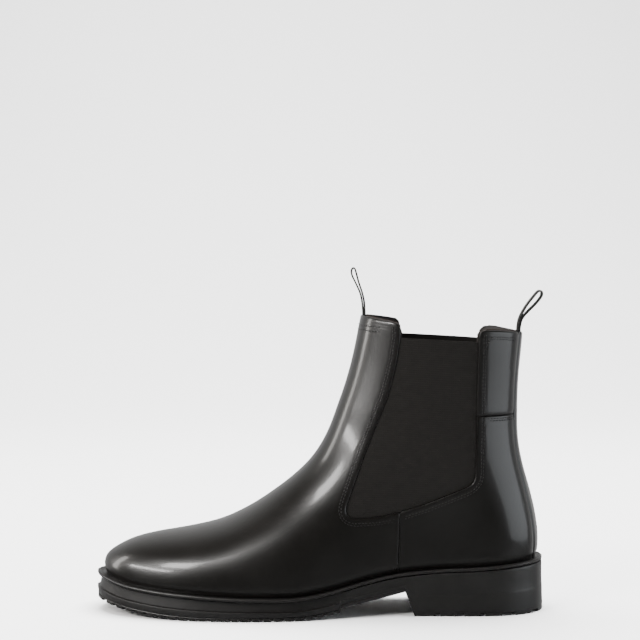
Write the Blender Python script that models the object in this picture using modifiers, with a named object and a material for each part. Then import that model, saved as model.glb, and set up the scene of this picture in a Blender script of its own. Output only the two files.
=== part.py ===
"""Chelsea boot, left foot, men's EU 42: the pieces of its upper, sole and pull tabs.

Frame: metres, +Z up, origin on the floor under the middle of the sole.
The toe points to -X, the heel to +X and the outer (lateral) side to -Y.
Most shapes are drawn in millimetres on the boot's side view: s is the distance
forward of the back of the heel, z is the height above the floor.
"""

import bmesh
import bpy
import numpy as np
from mathutils import Matrix, Vector

MM = 0.001
OBJECT_NAME = "chelsea_boot"

# ---- driving dimensions, in millimetres ------------------------------------

SOLE_LENGTH = 302.0
HALF_LENGTH = SOLE_LENGTH / 2.0
GAP = 0.3
UPPER_LIFT = 0.7
LAYER_GAP = 0.5

LEATHER = 1.5
STRIP_LEATHER = 1.2
MIDDLE_DEPTH = LEATHER + LAYER_GAP
MIDDLE = 0.8
LINING_DEPTH = MIDDLE_DEPTH + MIDDLE + LAYER_GAP
LINING = 0.8
WALL = LINING_DEPTH + LINING

TOE_S = 296.9
HEEL_S = 4.6
HEEL_EDGE = 3.9
HEEL_FLARE = 0.6
TOE_EDGE = 4.7
WELT = 2.5
WELT_WIDTH = 14.0
INSOLE = 2.5
SOCK_LINER = 1.2
LUG = 2.0
LUG_ZONE = (138.5, 290.0)
LUG_PITCH = 6.8
LUG_GAP = 2.2
NOTCH_DEPTH = 5.0
# Notches along the heel's lower edge: (s, width).
HEEL_NOTCHES = ((11.0, 4.0), (27.0, 8.0), (43.5, 2.6), (58.0, 5.0), (73.0, 2.6))
BREAST_TOP = 94.9
BREAST_BOTTOM = 88.6
HEEL_POCKET = (16.0, 78.0)
POCKET_FLOOR = 10.0
POCKET_HALF_WIDTH = 19.0
SHANK = (36.0, 146.0)
SHANK_HALF_WIDTH = 6.5
FILLER = (150.0, 272.0)
NAIL_RADIUS = 1.1
NAIL_HEAD_RADIUS = 2.4
NAIL_HEAD = 0.6
NAIL_LENGTH = 20.0

WEBBING = 1.15
WEBBING_HALF_WIDTH = 4.7
TAB_SEWN_LENGTH = 13.0

# Height of the feather line, where the upper meets the sole, along s.
FEATHER = ((0, 36.0), (24, 34.0), (45, 32.4), (71, 31.2), (98, 28.7), (122, 24.1),
           (142, 19.0), (163, 15.4), (190, 15.0), (215, 15.7), (237, 17.0), (262, 18.9),
           (285, 21.8), (302, 26.3))

# Underside of the sole's lugs along s, from the arch to the toe.
TREAD = ((BREAST_TOP, 16.4), (108, 13.2), (122, 10.3), (138, 7.2))
LUGS = ((138.5, 4.2), (152, 1.6), (166, 0.2), (176, 0.0), (232, 0.0), (255, 1.3), (275, 3.7),
        (290, 6.6), (302, 9.9))

# Plan half widths of the upper at the feather line: (s, half width), heel to toe.
LATERAL_PLAN = ((4.6, 0.0), (6.0, 9.5), (10.5, 18.0), (19.0, 25.0), (32.0, 29.6), (52.0, 31.3),
                (80.0, 31.2), (108.0, 33.6), (138.0, 40.5), (165.0, 47.0), (190.0, 49.5),
                (215.0, 49.0), (240.0, 45.6), (262.0, 38.8), (279.0, 29.8), (289.5, 20.0),
                (295.2, 10.0), (296.9, 0.0))
MEDIAL_PLAN = ((4.6, 0.0), (6.0, 9.5), (10.5, 18.0), (19.0, 24.8), (32.0, 29.0), (52.0, 30.0),
               (80.0, 28.6), (108.0, 29.4), (138.0, 35.6), (165.0, 43.2), (190.0, 48.2),
               (210.0, 49.5), (236.0, 47.2), (258.0, 41.0), (276.0, 31.8), (288.0, 21.0),
               (294.8, 10.4), (296.9, 0.0))

# Half width of the ankle and shaft at each height.
SHAFT_PLAN = ((30.0, 33.0), (60.0, 34.5), (85.0, 35.4), (115.0, 34.6), (145.0, 33.2),
              (175.0, 33.2), (205.0, 34.2))

# Back of the boot seen from the side: (z, s).
BACK = ((34.0, 4.6), (42.4, 4.0), (52.0, 4.1), (64.2, 5.8), (80.6, 9.6), (96.9, 14.2),
        (113.2, 17.5), (135.0, 18.2), (156.6, 17.5), (178.2, 15.5), (205.0, 13.6))

# Ribs of the upper. Each joins a point of the front profile (s, z) to a point of the base
# line, which runs along the feather line from the toe to the heel and then up the back.
# On the feather line the point is given by its s, and up the back by its height.
FEATHER_RIBS = ((296.9, 31.0, 296.9), (294.7, 36.9, 290.0), (286.5, 42.6, 277.0),
                (275.6, 47.6, 261.0), (259.4, 51.4, 243.0), (242.4, 54.0, 224.0),
                (218.0, 59.6, 200.0), (197.0, 69.7, 176.0), (180.8, 80.6, 152.0),
                (167.2, 91.4, 126.0), (156.6, 102.3, 98.0), (149.4, 113.2, 68.0),
                (145.0, 122.6, 40.0), (143.0, 128.2, 18.0), (141.8, 131.8, 8.0),
                (140.9, 134.6, 4.6))
BACK_RIBS = ((139.3, 139.2, 45.0), (136.7, 146.2, 61.0), (133.3, 156.6, 86.0),
             (130.3, 167.4, 112.0), (127.8, 179.0, 140.0), (125.9, 189.0, 166.0),
             (123.7, 201.0, 195.0))
RIB_ROWS = (3, 2, 1, 1, 1, 1, 2, 1, 2, 1, 1, 2, 2, 2, 3, 2, 2, 2, 2, 1, 2, 2)
COLUMNS = 9

# Outlines on the side view: (s, z, corner radius).
FAR = 400.0
SEAM_TOP = (98.1, 69.0)
SEAM_BOTTOM = (100.2, 0.0)
WINDOW_FRONT = ((98.2, 184.0, 20.0), (100.6, 168.4, 60.0), (105.7, 147.2, 80.0),
                (122.3, 105.6, 80.0), (136.5, 64.9, 7.5))
WINDOW_BOTTOM = ((110.8, 65.8, 60.0), (98.1, 68.5, 60.0), (82.6, 73.3, 60.0), (47.8, 87.2, 11.0))
WINDOW_REAR = ((46.2, 182.0, 20.0),)
GORE_TOP = ((98.2, 184.1), (46.2, 181.1))
GORE_FLANGE = 7.0
VAMP_TOP = ((FAR, 203.0, 0.0), (124.0, 198.3, 0.0), (98.2, 193.6, 13.0))
REAR_TOP = ((45.8, 189.4, 9.5), (31.6, 188.8, 40.0), (14.9, 186.8, 0.0), (-FAR, 186.8, 0.0))
REAR_SEAM_Z = 132.3
BACK_STRIP_HALF_WIDTH = ((30.0, 12.6), (90.0, 12.0), (140.0, 11.0), (190.0, 10.6))
TOE_PUFF_S = 258.0
MEDIAL_SETBACK = (1.4, 5.8)
COUNTER = ((-FAR, -FAR, 0.0), (-FAR, 84.0, 0.0), (34.0, 84.0, 10.0), (42.0, 68.0, 8.0),
           (78.0, 58.0, 10.0), (84.0, -FAR, 0.0))
COUNTER_LIFT = 0.6
LEAST_CUT = 0.08
LINING_DROP = 1.0

# Pull tabs: the path of the webbing's middle on the side view, for each tab, up the
# front strand, round the loop and down the back strand.
FRONT_TAB_PIVOT = (121.5, 199.3)
FRONT_TAB_PATH = ((122.2, 199.6), (122.6, 206.0), (124.0, 212.6), (127.0, 219.4),
                  (129.6, 225.0), (129.6, 228.6), (127.8, 229.2), (126.6, 226.0),
                  (124.9, 219.6), (122.6, 212.8), (121.2, 206.2), (120.8, 199.6))
REAR_TAB_PIVOT = (17.2, 188.1)
REAR_TAB_PATH = ((17.9, 188.4), (17.7, 191.0), (16.4, 196.4), (12.2, 204.0), (7.8, 209.8),
                 (4.2, 213.8), (2.0, 213.6), (2.2, 210.4), (6.0, 205.4), (11.2, 200.2),
                 (15.0, 195.6), (16.3, 191.2), (16.5, 188.4))


# ---- curves ----------------------------------------------------------------

def smooth_curve(knots):
    """A cubic through (x, y) knots as a function of x that takes arrays."""
    xs, ys = (np.array(values, dtype=float) for values in zip(*knots))
    slopes = np.gradient(ys, xs)

    def value(x):
        x = np.clip(x, xs[0], xs[-1])
        i = np.clip(np.searchsorted(xs, x) - 1, 0, len(xs) - 2)
        step = xs[i + 1] - xs[i]
        t = (x - xs[i]) / step
        rise = ys[i + 1] - ys[i]
        bend_a = slopes[i] * step - rise
        bend_b = rise - slopes[i + 1] * step
        return ys[i] + t * rise + t * (1 - t) * ((1 - t) * bend_a + t * bend_b)

    return value


def dense_path(points, steps=16):
    """Points along a smooth open path through the given ones."""
    places = np.arange(len(points), dtype=float)
    at = np.linspace(0.0, len(points) - 1.0, (len(points) - 1) * steps + 1)
    axes = zip(*points)
    return np.column_stack([smooth_curve(tuple(zip(places, axis)))(at) for axis in axes])


def smoothstep(x):
    x = np.clip(x, 0.0, 1.0)
    return x * x * (3.0 - 2.0 * x)


feather_z = smooth_curve(FEATHER)
back_s = smooth_curve(BACK)
shaft_half_width = smooth_curve(SHAFT_PLAN)
strip_half_width = smooth_curve(BACK_STRIP_HALF_WIDTH)
LATERAL_PATH = dense_path(LATERAL_PLAN)
MEDIAL_PATH = dense_path(MEDIAL_PLAN)


def plan_half_width(s, side):
    """Half width of the upper at the feather line; side is -1 lateral, +1 medial."""
    path = LATERAL_PATH if side < 0 else MEDIAL_PATH
    return np.interp(s, path[:, 0], path[:, 1])


def rib_base(travel):
    """Point on the base line; travel is -s on the feather line, then rises up the back."""
    corner_z = feather_z(HEEL_S) + UPPER_LIFT
    s_feather = -travel
    z_back = corner_z + travel + HEEL_S
    on_feather = travel < -HEEL_S
    s = np.where(on_feather, s_feather, back_s(z_back))
    z = np.where(on_feather, feather_z(s_feather) + UPPER_LIFT, z_back)
    return s, z


def rib_curves():
    """Front profile and base travel as smooth functions of the rib number."""
    corner_z = float(feather_z(HEEL_S)) + UPPER_LIFT
    front_s = [rib[0] for rib in FEATHER_RIBS + BACK_RIBS]
    front_z = [rib[1] for rib in FEATHER_RIBS + BACK_RIBS]
    travel = [-rib[2] for rib in FEATHER_RIBS]
    travel += [rib[2] - corner_z - HEEL_S for rib in BACK_RIBS]
    number = range(len(front_s))
    return [smooth_curve(tuple(zip(number, values))) for values in (front_s, front_z, travel)]


RIB_FRONT_S, RIB_FRONT_Z, RIB_TRAVEL = rib_curves()
PROFILE_AT = np.linspace(0.0, len(RIB_ROWS), 400)
PROFILE_S = RIB_FRONT_S(PROFILE_AT)
PROFILE_Z = RIB_FRONT_Z(PROFILE_AT)


# ---- the upper's outer surface ---------------------------------------------

def half_width(s, z, side):
    """Half width of the upper's outer surface at a point of the side view."""
    rise = z - feather_z(s)
    top = np.interp(s, PROFILE_S[::-1], PROFILE_Z[::-1]) - feather_z(s)
    lean = (back_s(z) - HEEL_S) * (1.0 - smoothstep((s - back_s(z)) / 110.0))
    roof = np.clip(1.0 - np.clip(rise / top, 0.0, 1.0) ** 2.6, 0.0, 1.0) ** 0.5
    foot = plan_half_width(s - lean, side) * roof
    front = np.interp(z, PROFILE_Z, PROFILE_S)
    along = np.clip((s - back_s(z)) / (front - back_s(z)), 0.0, 1.0)
    oval = np.clip(1.0 - np.abs(2.0 * along - 1.0) ** 2.3, 0.0, 1.0) ** (1.0 / 2.2)
    shaft = shaft_half_width(z) * oval
    blend = smoothstep((z - 42.0) / 78.0)
    return foot * (1.0 - blend) + shaft * blend


def upper_grid():
    """Side-view places and 3-D points of the upper's outer surface, one row per rib line."""
    numbers = [np.linspace(i, i + 1, n, endpoint=False) for i, n in enumerate(RIB_ROWS)]
    numbers = np.append(np.concatenate(numbers), len(RIB_ROWS))
    rows = []
    for number in numbers:
        front = np.array([RIB_FRONT_S(number), RIB_FRONT_Z(number)])
        base = np.array(rib_base(RIB_TRAVEL(number)))
        at = np.linspace(0.0, 1.0, COLUMNS + 1)
        even = 1.0 - (1.0 - at) ** (1.3 + 0.6 * smoothstep(number / 1.5))
        both = 0.5 - 0.5 * np.cos(np.pi * at)
        up_back = smoothstep((number - len(FEATHER_RIBS) + 6.0) / 5.0)
        share = even * (1.0 - up_back) + both * up_back
        half = base + (front - base) * share[:, None]
        row = []
        for side, points in ((-1, half), (1, half[-2::-1])):
            width = half_width(points[:, 0], points[:, 1], side)
            closed = (number == 0) | (points[:, 0] >= front[0])
            width = np.where(closed, 0.0, width)
            width[np.isclose(points[:, 0], base[0]) & (RIB_TRAVEL(number) >= -HEEL_S)] = 0.0
            row.append(np.column_stack([points, side * width]))
        rows.append(np.vstack(row))
    return np.array(rows)


def surface_normals(grid):
    """Outward unit normals of the grid's points, averaged over the faces that meet there."""
    corners = (grid[:-1, :-1], grid[1:, :-1], grid[1:, 1:], grid[:-1, 1:])
    face_normals = np.cross(corners[2] - corners[0], corners[3] - corners[1])
    normals = np.zeros_like(grid)
    for rows in (slice(0, -1), slice(1, None)):
        for columns in (slice(0, -1), slice(1, None)):
            normals[rows, columns] += face_normals
    # Points that coincide, such as those of the toe's line and the back seam, share a normal.
    shared = {}
    keys = [tuple(place) for place in np.round(grid.reshape(-1, 3), 4)]
    for key, normal in zip(keys, normals.reshape(-1, 3)):
        shared[key] = shared.get(key, 0.0) + normal
    normals = np.array([shared[key] for key in keys]).reshape(grid.shape)
    return normals / np.linalg.norm(normals, axis=2, keepdims=True)


GRID = upper_grid()
NORMALS = surface_normals(GRID)


def to_frame(points):
    """(s, z, y) in millimetres to (x, y, z) in metres."""
    points = np.asarray(points, dtype=float)
    return np.stack([HALF_LENGTH - points[..., 0], points[..., 2], points[..., 1]], axis=-1) * MM


# ---- outlines on the side view ---------------------------------------------

def rounded_outline(corners):
    """A closed outline through (s, z, radius) corners, each rounded by an arc."""
    points = []
    count = len(corners)
    for i, (s, z, radius) in enumerate(corners):
        here = np.array([s, z])
        before = np.array(corners[i - 1][:2]) - here
        after = np.array(corners[(i + 1) % count][:2]) - here
        if radius == 0.0:
            points.append(here)
            continue
        room = 0.45 * min(np.linalg.norm(before), np.linalg.norm(after))
        before /= np.linalg.norm(before)
        after /= np.linalg.norm(after)
        half_angle = 0.5 * np.arccos(np.clip(before @ after, -1.0, 1.0))
        reach = min(radius / np.tan(half_angle), room)
        start, end = here + before * reach, here + after * reach
        for t in np.linspace(0.0, 1.0, 9):
            points.append((1 - t) ** 2 * start + 2 * t * (1 - t) * here + t * t * end)
    return np.array(points)


def inside_distance(outline, s, z):
    """Signed distance to a closed outline, positive inside, in millimetres."""
    place = np.stack([s, z], axis=-1)
    nearest = np.full(s.shape, 1e9)
    crossings = np.zeros(s.shape, dtype=int)
    for a, b in zip(outline, np.roll(outline, -1, axis=0)):
        edge = b - a
        length = edge @ edge
        if length < 1e-12:
            continue
        t = np.clip(((place - a) @ edge) / length, 0.0, 1.0)
        nearest = np.minimum(nearest, np.linalg.norm(place - a - t[..., None] * edge, axis=-1))
        spans = (a[1] > z) != (b[1] > z)
        if abs(edge[1]) > 1e-12:
            crossings += spans & (s < a[0] + edge[0] * (z - a[1]) / edge[1])
    return np.where(crossings % 2 == 1, nearest, -nearest)


WINDOW = rounded_outline(((98.2, FAR, 0.0),) + WINDOW_FRONT + WINDOW_BOTTOM + WINDOW_REAR
                         + ((46.2, FAR, 0.0),))
VAMP_AREA = rounded_outline(((FAR, -FAR, 0.0),) + VAMP_TOP + WINDOW_FRONT
                            + ((110.8, 65.8, 60.0), SEAM_TOP + (0.0,), SEAM_BOTTOM + (0.0,),
                               SEAM_BOTTOM[:1] + (-FAR, 0.0)))
REAR_AREA = rounded_outline(((SEAM_BOTTOM[0], -FAR, 0.0), SEAM_BOTTOM + (0.0,), SEAM_TOP + (0.0,))
                            + WINDOW_BOTTOM[2:] + WINDOW_REAR + REAR_TOP + ((-FAR, -FAR, 0.0),))
COUNTER_AREA = rounded_outline(COUNTER)


def setback(s):
    """How much further back than the lateral side's lines the medial side's lines are."""
    front, rear = MEDIAL_SETBACK
    amount = front + (rear - front) * smoothstep((100.0 - s) / 50.0)
    return amount * smoothstep((120.0 - s) / 14.0) * smoothstep((s - 20.0) / 14.0)


def inside(outline, s, z, y):
    """Distance inside an outline, which is set back on the medial side."""
    return inside_distance(outline, s + np.where(y > 0.0, setback(s), 0.0), z) - GAP / 2


def beside_strip(s, z, y):
    return np.where(s < 60.0, np.abs(y) - strip_half_width(z), 30.0)


# Each region of the upper is a list of fields, and covers the places where all are positive.

def vamp_region(s, z, y):
    return [inside(VAMP_AREA, s, z, y)]


def quarter_region(s, z, y):
    return [inside(REAR_AREA, s, z, y), beside_strip(s, z, y) - GAP / 2,
            REAR_SEAM_Z - z - GAP / 2]


def rear_panel_region(s, z, y):
    return [inside(REAR_AREA, s, z, y), beside_strip(s, z, y) - GAP / 2,
            z - REAR_SEAM_Z - GAP / 2]


def strip_region(s, z, y):
    return [inside(REAR_AREA, s, z, y), -beside_strip(s, z, y) - GAP / 2]


def gore_region(s, z, y):
    slope = (GORE_TOP[0][1] - GORE_TOP[1][1]) / (GORE_TOP[0][0] - GORE_TOP[1][0])
    below_top = GORE_TOP[1][1] + slope * (s - GORE_TOP[1][0]) - z
    return [inside(WINDOW, s, z, y) + GORE_FLANGE, below_top]


def vamp_lining_region(s, z, y):
    return [inside(VAMP_AREA, s, z, y), inside(VAMP_AREA, s, z + LINING_DROP, y)]


def quarter_lining_region(s, z, y):
    meets_at_back = np.where(s < 60.0, np.abs(y), 30.0) - GAP
    return [inside(REAR_AREA, s, z, y), inside(REAR_AREA, s, z + LINING_DROP, y), meets_at_back]


def toe_puff_region(s, z, y):
    return [s - TOE_PUFF_S]


def counter_region(s, z, y):
    return [inside(COUNTER_AREA, s, z, y), z - feather_z(s) - COUNTER_LIFT]


def tab_end_region(pivot):
    """Part of the middle layer where a tab's webbing is sewn in below the top edge."""
    def region(s, z, y):
        return [WEBBING_HALF_WIDTH - np.abs(y), 12.0 - np.abs(s - pivot[0]),
                pivot[1] - 2.0 - z, z - pivot[1] + TAB_SEWN_LENGTH]
    return region


# ---- building meshes -------------------------------------------------------

def new_object(name, vertices, faces, material, collection):
    """A mesh object from vertices in metres and faces, with its material."""
    mesh = bpy.data.meshes.new(name)
    mesh.from_pydata([tuple(v) for v in vertices], [], faces)
    mesh.update()
    mesh.shade_smooth()
    mesh.set_sharp_from_angle(angle=0.7)
    mesh.materials.append(material)
    thing = bpy.data.objects.new(name, mesh)
    collection.objects.link(thing)
    return thing


def clip_face(corners, field):
    """The part of a face where one of its points' values is positive."""
    kept = []
    for here, there in zip(corners, corners[1:] + corners[:1]):
        if here[field] > 0.0:
            kept.append(here)
        if (here[field] > 0.0) != (there[field] > 0.0):
            share = here[field] / (here[field] - there[field])
            kept.append(here + (there - here) * share)
    return kept


def grid_triangles(first, last):
    """The grid's cells from one column to another, each split on its shorter diagonal."""
    for row in range(len(GRID) - 1):
        for column in range(first, last):
            a, b, c, d = ((row, column), (row + 1, column), (row + 1, column + 1), (row, column + 1))
            across = np.linalg.norm(GRID[a] - GRID[c]), np.linalg.norm(GRID[b] - GRID[d])
            yield from ((a, b, c), (a, c, d)) if across[0] < across[1] else ((a, b, d), (b, c, d))


def upper_piece(name, region, depth, thickness, material, collection, side=0):
    """A piece of the upper: a region of the outer surface, between two depths under it.

    Both skins follow the surface's own normals, so that layers nest without touching.
    """
    fields = np.stack(region(GRID[..., 0], GRID[..., 1], GRID[..., 2]), axis=-1)
    fields = np.where(np.abs(fields) < LEAST_CUT, np.copysign(LEAST_CUT, fields), fields)
    outer = to_frame(GRID - NORMALS * depth)
    inner = to_frame(GRID - NORMALS * (depth + thickness))
    points = np.concatenate([outer, inner, fields], axis=-1)
    first = COLUMNS if side > 0 else 0
    last = COLUMNS if side < 0 else 2 * COLUMNS
    index, places, faces = {}, [], []
    for triangle in grid_triangles(first, last):
        corners = [points[place] for place in triangle]
        for field in range(6, points.shape[-1]):
            corners = clip_face(corners, field)
        loop = []
        for corner in corners:
            key = tuple(np.round(corner[:3], 7))
            if key not in index:
                index[key] = len(places)
                places.append((corner[:3], corner[3:6]))
            if index[key] not in loop:
                loop.append(index[key])
        if len(loop) > 2:
            faces.append(loop)
    return closed_sheet(name, places, faces, material, collection)


def closed_sheet(name, places, faces, material, collection):
    """Close a sheet of (outer, inner) points into a solid with a rim round its edge."""
    count = len(places)
    sides = {(a, b) for loop in faces for a, b in zip(loop, loop[1:] + loop[:1])}
    rim = [(b, a, a + count, b + count) for a, b in sides if (b, a) not in sides]
    inside = [[i + count for i in reversed(loop)] for loop in faces]
    vertices = [pair[0] for pair in places] + [pair[1] for pair in places]
    return new_object(name, vertices, faces + inside + sorted(rim), material, collection)


# ---- the sole's layers -----------------------------------------------------

def plan_ring(stations, reach):
    """Both halves of a plan outline, offset outward by reach from the feather line.

    Returns the lateral and the medial points (s, y), and the stations they belong to.
    """
    halves = []
    for side, path in ((-1, LATERAL_PATH), (1, MEDIAL_PATH)):
        direction = np.gradient(path, axis=0)
        direction /= np.linalg.norm(direction, axis=1, keepdims=True)
        normal = np.column_stack([-direction[:, 1], direction[:, 0]])
        normal[0], normal[-1] = (-1.0, 0.0), (1.0, 0.0)
        at = np.interp(stations, path[:, 0], np.arange(len(path)))
        index = np.arange(len(path))
        columns = []
        for axis in (0, 1):
            place = np.interp(at, index, path[:, axis])
            outward = np.interp(at, index, normal[:, axis])
            columns.append(place + outward * reach)
        halves.append(np.column_stack([columns[0], side * np.maximum(columns[1], 0.0)]))
    return halves


def sole_reach(s):
    """How far the sole's edge stands out from the feather line."""
    return HEEL_EDGE + (TOE_EDGE - HEEL_EDGE) * smoothstep((s - 95.0) / 80.0)


def round_stations(start, end, count):
    """Stations along the length, closer together towards both ends."""
    return start + (end - start) * (0.5 - 0.5 * np.cos(np.linspace(0.0, np.pi, count)))


def layered_solid(name, stations, levels, material, collection, hollow=False):
    """A closed solid between plan outlines stacked from the bottom up.

    Each level is (height function, outward reach function). The height is that of the
    place a point has moved to, but steps in it stay at their stations. A hollow one joins
    its last level to its first, so it is a ring; a full one has a floor and a roof.
    """
    count = len(stations)
    vertices, rings = [], []
    for height, reach in levels:
        lateral, medial = plan_ring(stations, reach(stations))
        ring = []
        for half, order in ((lateral, range(count)), (medial, range(count - 1, -1, -1))):
            z = height(half[:, 0], stations)
            for i in order:
                ring.append(len(vertices))
                vertices.append(to_frame((half[i, 0], z[i], half[i, 1])))
        rings.append(ring)
    pairs = list(zip(rings, rings[1:]))
    if hollow:
        pairs.append((rings[-1], rings[0]))
    faces = []
    for low, high in pairs:
        for i in range(len(low)):
            j = (i + 1) % len(low)
            faces.append((low[i], low[j], high[j], high[i]))
    if not hollow:
        for ring in (rings[0], rings[-1]):
            for i in range(count - 1):
                far = 2 * count - 1
                faces.append((ring[i], ring[i + 1], ring[far - i - 1], ring[far - i]))
    thing = new_object(name, vertices, faces, material, collection)
    shape = bmesh.new()
    shape.from_mesh(thing.data)
    bmesh.ops.remove_doubles(shape, verts=shape.verts, dist=0.00005)
    bmesh.ops.dissolve_degenerate(shape, edges=shape.edges, dist=0.00004)
    bmesh.ops.recalc_face_normals(shape, faces=shape.faces)
    shape.to_mesh(thing.data)
    shape.free()
    thing.data.set_sharp_from_angle(angle=0.7)
    return thing


def level(drop, reach):
    """A level a fixed drop under the feather line, with a fixed reach past it."""
    return (lambda s, station: feather_z(s) - drop, lambda s: np.full_like(s, reach))


def edge_level(drop, inset):
    """A level a fixed drop under the feather line, set in from the sole's edge."""
    return (lambda s, station: feather_z(s) - drop, lambda s: sole_reach(s) - inset)


tread_z = smooth_curve(TREAD)
lug_z = smooth_curve(LUGS)


def sole_bottom(s):
    """Underside of the outsole: heel, breast, arch and lugged forepart."""
    heel = np.zeros_like(s)
    arch = tread_z(s)
    forepart = np.maximum(lug_z(s), 0.0)
    return np.where(s < BREAST_BOTTOM + 0.1, heel, np.where(s < LUG_ZONE[0] - 0.1, arch, forepart))


def side_groove(s):
    """Depth of the groove along the outsole's side wall, which fades out in the waist."""
    return 1.5 * smoothstep((s - 118.0) / 34.0)


def outsole_level(drop, inset, groove=0.0):
    """A level of the outsole's wall; at the heel the drops stretch down to the floor."""
    def height(s, station):
        base = feather_z(s) - WELT - GAP
        room = base - sole_bottom(station)
        return base - room * drop

    def reach(s):
        flare = HEEL_FLARE * drop ** 2 * (1.0 - smoothstep((s - 55.0) / 35.0))
        return sole_reach(s) - inset - groove * side_groove(s) + flare

    return (height, reach)


def make_outsole(material, collection, cutters):
    """One rubber unit: forepart, waist and heel, with its lugs and the heel's pocket."""
    heel = BREAST_BOTTOM * (0.5 - 0.5 * np.cos(np.linspace(0.0, 0.5 * np.pi, 12))) * 2.0
    heel = HEEL_S + (BREAST_BOTTOM - HEEL_S) * heel / heel[-1]
    arch = np.array([BREAST_TOP, 106.0, 120.0, LUG_ZONE[0] - 0.4])
    lugs = np.linspace(LUG_ZONE[0] + 0.4, 255.0, 10)
    toe = 255.0 + (TOE_S - 255.0) * np.sin(np.linspace(0.0, 0.5 * np.pi, 11))[1:]
    stations = np.concatenate([heel, arch, lugs, toe])
    levels = [outsole_level(1.0, 0.1), outsole_level(0.76, 0.0), outsole_level(0.38, 0.0),
              outsole_level(0.34, 0.2, 1.0), outsole_level(0.06, 0.2, 1.0), outsole_level(0.0, 0.4)]
    outsole = layered_solid("outsole", stations, levels, material, collection)
    cut(outsole, lug_cutter(cutters))
    cut(outsole, pocket_solid("heel_pocket_cutter", 0.0, 12.0, None, cutters))
    return outsole


def cut(thing, cutter):
    """Cut one object by another, which is kept as a hidden wire shape."""
    cutter.hide_render = True
    cutter.display_type = "WIRE"
    boolean = thing.modifiers.new("cut_" + cutter.name, "BOOLEAN")
    boolean.operation = "DIFFERENCE"
    boolean.solver = "EXACT"
    boolean.object = cutter


def lug_cutter(cutters):
    """Notches between the lugs, along both edges of the forepart and the heel."""
    shape = bmesh.new()
    places = [(s, LUG_GAP) for s in np.arange(LUG_ZONE[0] + LUG_PITCH / 2, TOE_S - 3.0, LUG_PITCH)]
    for s, width in places + list(HEEL_NOTCHES):
        stations = np.array([s, s + 1.0])
        floor = float(sole_bottom(stations)[0])
        for half in plan_ring(stations, sole_reach(stations)):
            along = half[1] - half[0]
            turn = np.arctan2(along[1], -along[0])
            centre = to_frame((half[0, 0], floor + LUG / 2 - 1.0, half[0, 1]))
            place = Matrix.Translation(Vector(centre)) @ Matrix.Rotation(turn, 4, "Z")
            size = Matrix.Diagonal((width * MM, 2 * NOTCH_DEPTH * MM, (LUG + 2.0) * MM, 1.0))
            bmesh.ops.create_cube(shape, size=1.0, matrix=place @ size)
    mesh = bpy.data.meshes.new("lug_cutter")
    shape.to_mesh(mesh)
    shape.free()
    thing = bpy.data.objects.new("lug_cutter", mesh)
    cutters.objects.link(thing)
    return thing


def strap_outline(name, start, end, half_width_mm, low, high, material, collection):
    """A bar with round ends along the middle of the boot, between two height functions."""
    at = round_stations(start, end, 11)
    radius = half_width_mm
    inset = np.minimum(at - start, end - at)
    half = radius * np.sqrt(np.clip(1.0 - (1.0 - np.clip(inset / radius, 0.0, 1.0)) ** 2, 0.0, 1.0))
    vertices, faces = [], []
    for height in (low, high):
        for side in (-1, 1):
            for s, y in zip(at, half):
                vertices.append(to_frame((s, float(height(np.array(s))), side * y)))
    n = len(at)
    for i in range(n - 1):
        faces.append((i, i + 1, n + i + 1, n + i))
        faces.append((2 * n + i, 2 * n + i + 1, 3 * n + i + 1, 3 * n + i))
        faces.append((i, i + 1, 2 * n + i + 1, 2 * n + i))
        faces.append((n + i, n + i + 1, 3 * n + i + 1, 3 * n + i))
    thing = new_object(name, vertices, faces, material, collection)
    shape = bmesh.new()
    shape.from_mesh(thing.data)
    bmesh.ops.remove_doubles(shape, verts=shape.verts, dist=0.00005)
    bmesh.ops.recalc_face_normals(shape, faces=shape.faces)
    shape.to_mesh(thing.data)
    shape.free()
    thing.data.set_sharp_from_angle(angle=0.7)
    return thing


def pocket_solid(name, gap, headroom, material, collection):
    """The shape of the heel's pocket, or of the core that fits it with a gap."""
    low = lambda s: np.full_like(s, POCKET_FLOOR + gap)
    high = lambda s: feather_z(s) - WELT - GAP + headroom
    start, end = HEEL_POCKET
    return strap_outline(name, start + gap, end - gap, POCKET_HALF_WIDTH - gap, low, high,
                         material, collection)


# ---- nails -----------------------------------------------------------------

NAIL_PLACES = ((26.0, 0.0), (42.0, -11.5), (42.0, 11.5), (64.0, -11.5), (64.0, 11.5))


def nail_shape(head_radius, shank_radius, head, length):
    """Turned profile of a nail, its head's underside at the origin."""
    return [(0.0, head), (head_radius, head), (head_radius, 0.0), (shank_radius, 0.0),
            (shank_radius, -length + 2.0), (0.0, -length)]


def turned(name, profile, material, collection):
    """A solid turned about its own Z axis from a profile of (radius, height) in mm."""
    mesh = bpy.data.meshes.new(name)
    edges = [(i, i + 1) for i in range(len(profile) - 1)]
    mesh.from_pydata([(r * MM, 0.0, z * MM) for r, z in profile], edges, [])
    if material:
        mesh.materials.append(material)
    thing = bpy.data.objects.new(name, mesh)
    collection.objects.link(thing)
    screw = thing.modifiers.new("turn", "SCREW")
    screw.steps = screw.render_steps = 10
    screw.use_merge_vertices = True
    screw.merge_threshold = 0.00005
    screw.use_smooth_shade = False
    return thing


def place_nail(thing, s, y):
    thing.location = to_frame((s, float(feather_z(np.array(s))) + GAP + INSOLE + GAP, y))


# ---- pull tabs -------------------------------------------------------------

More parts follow.
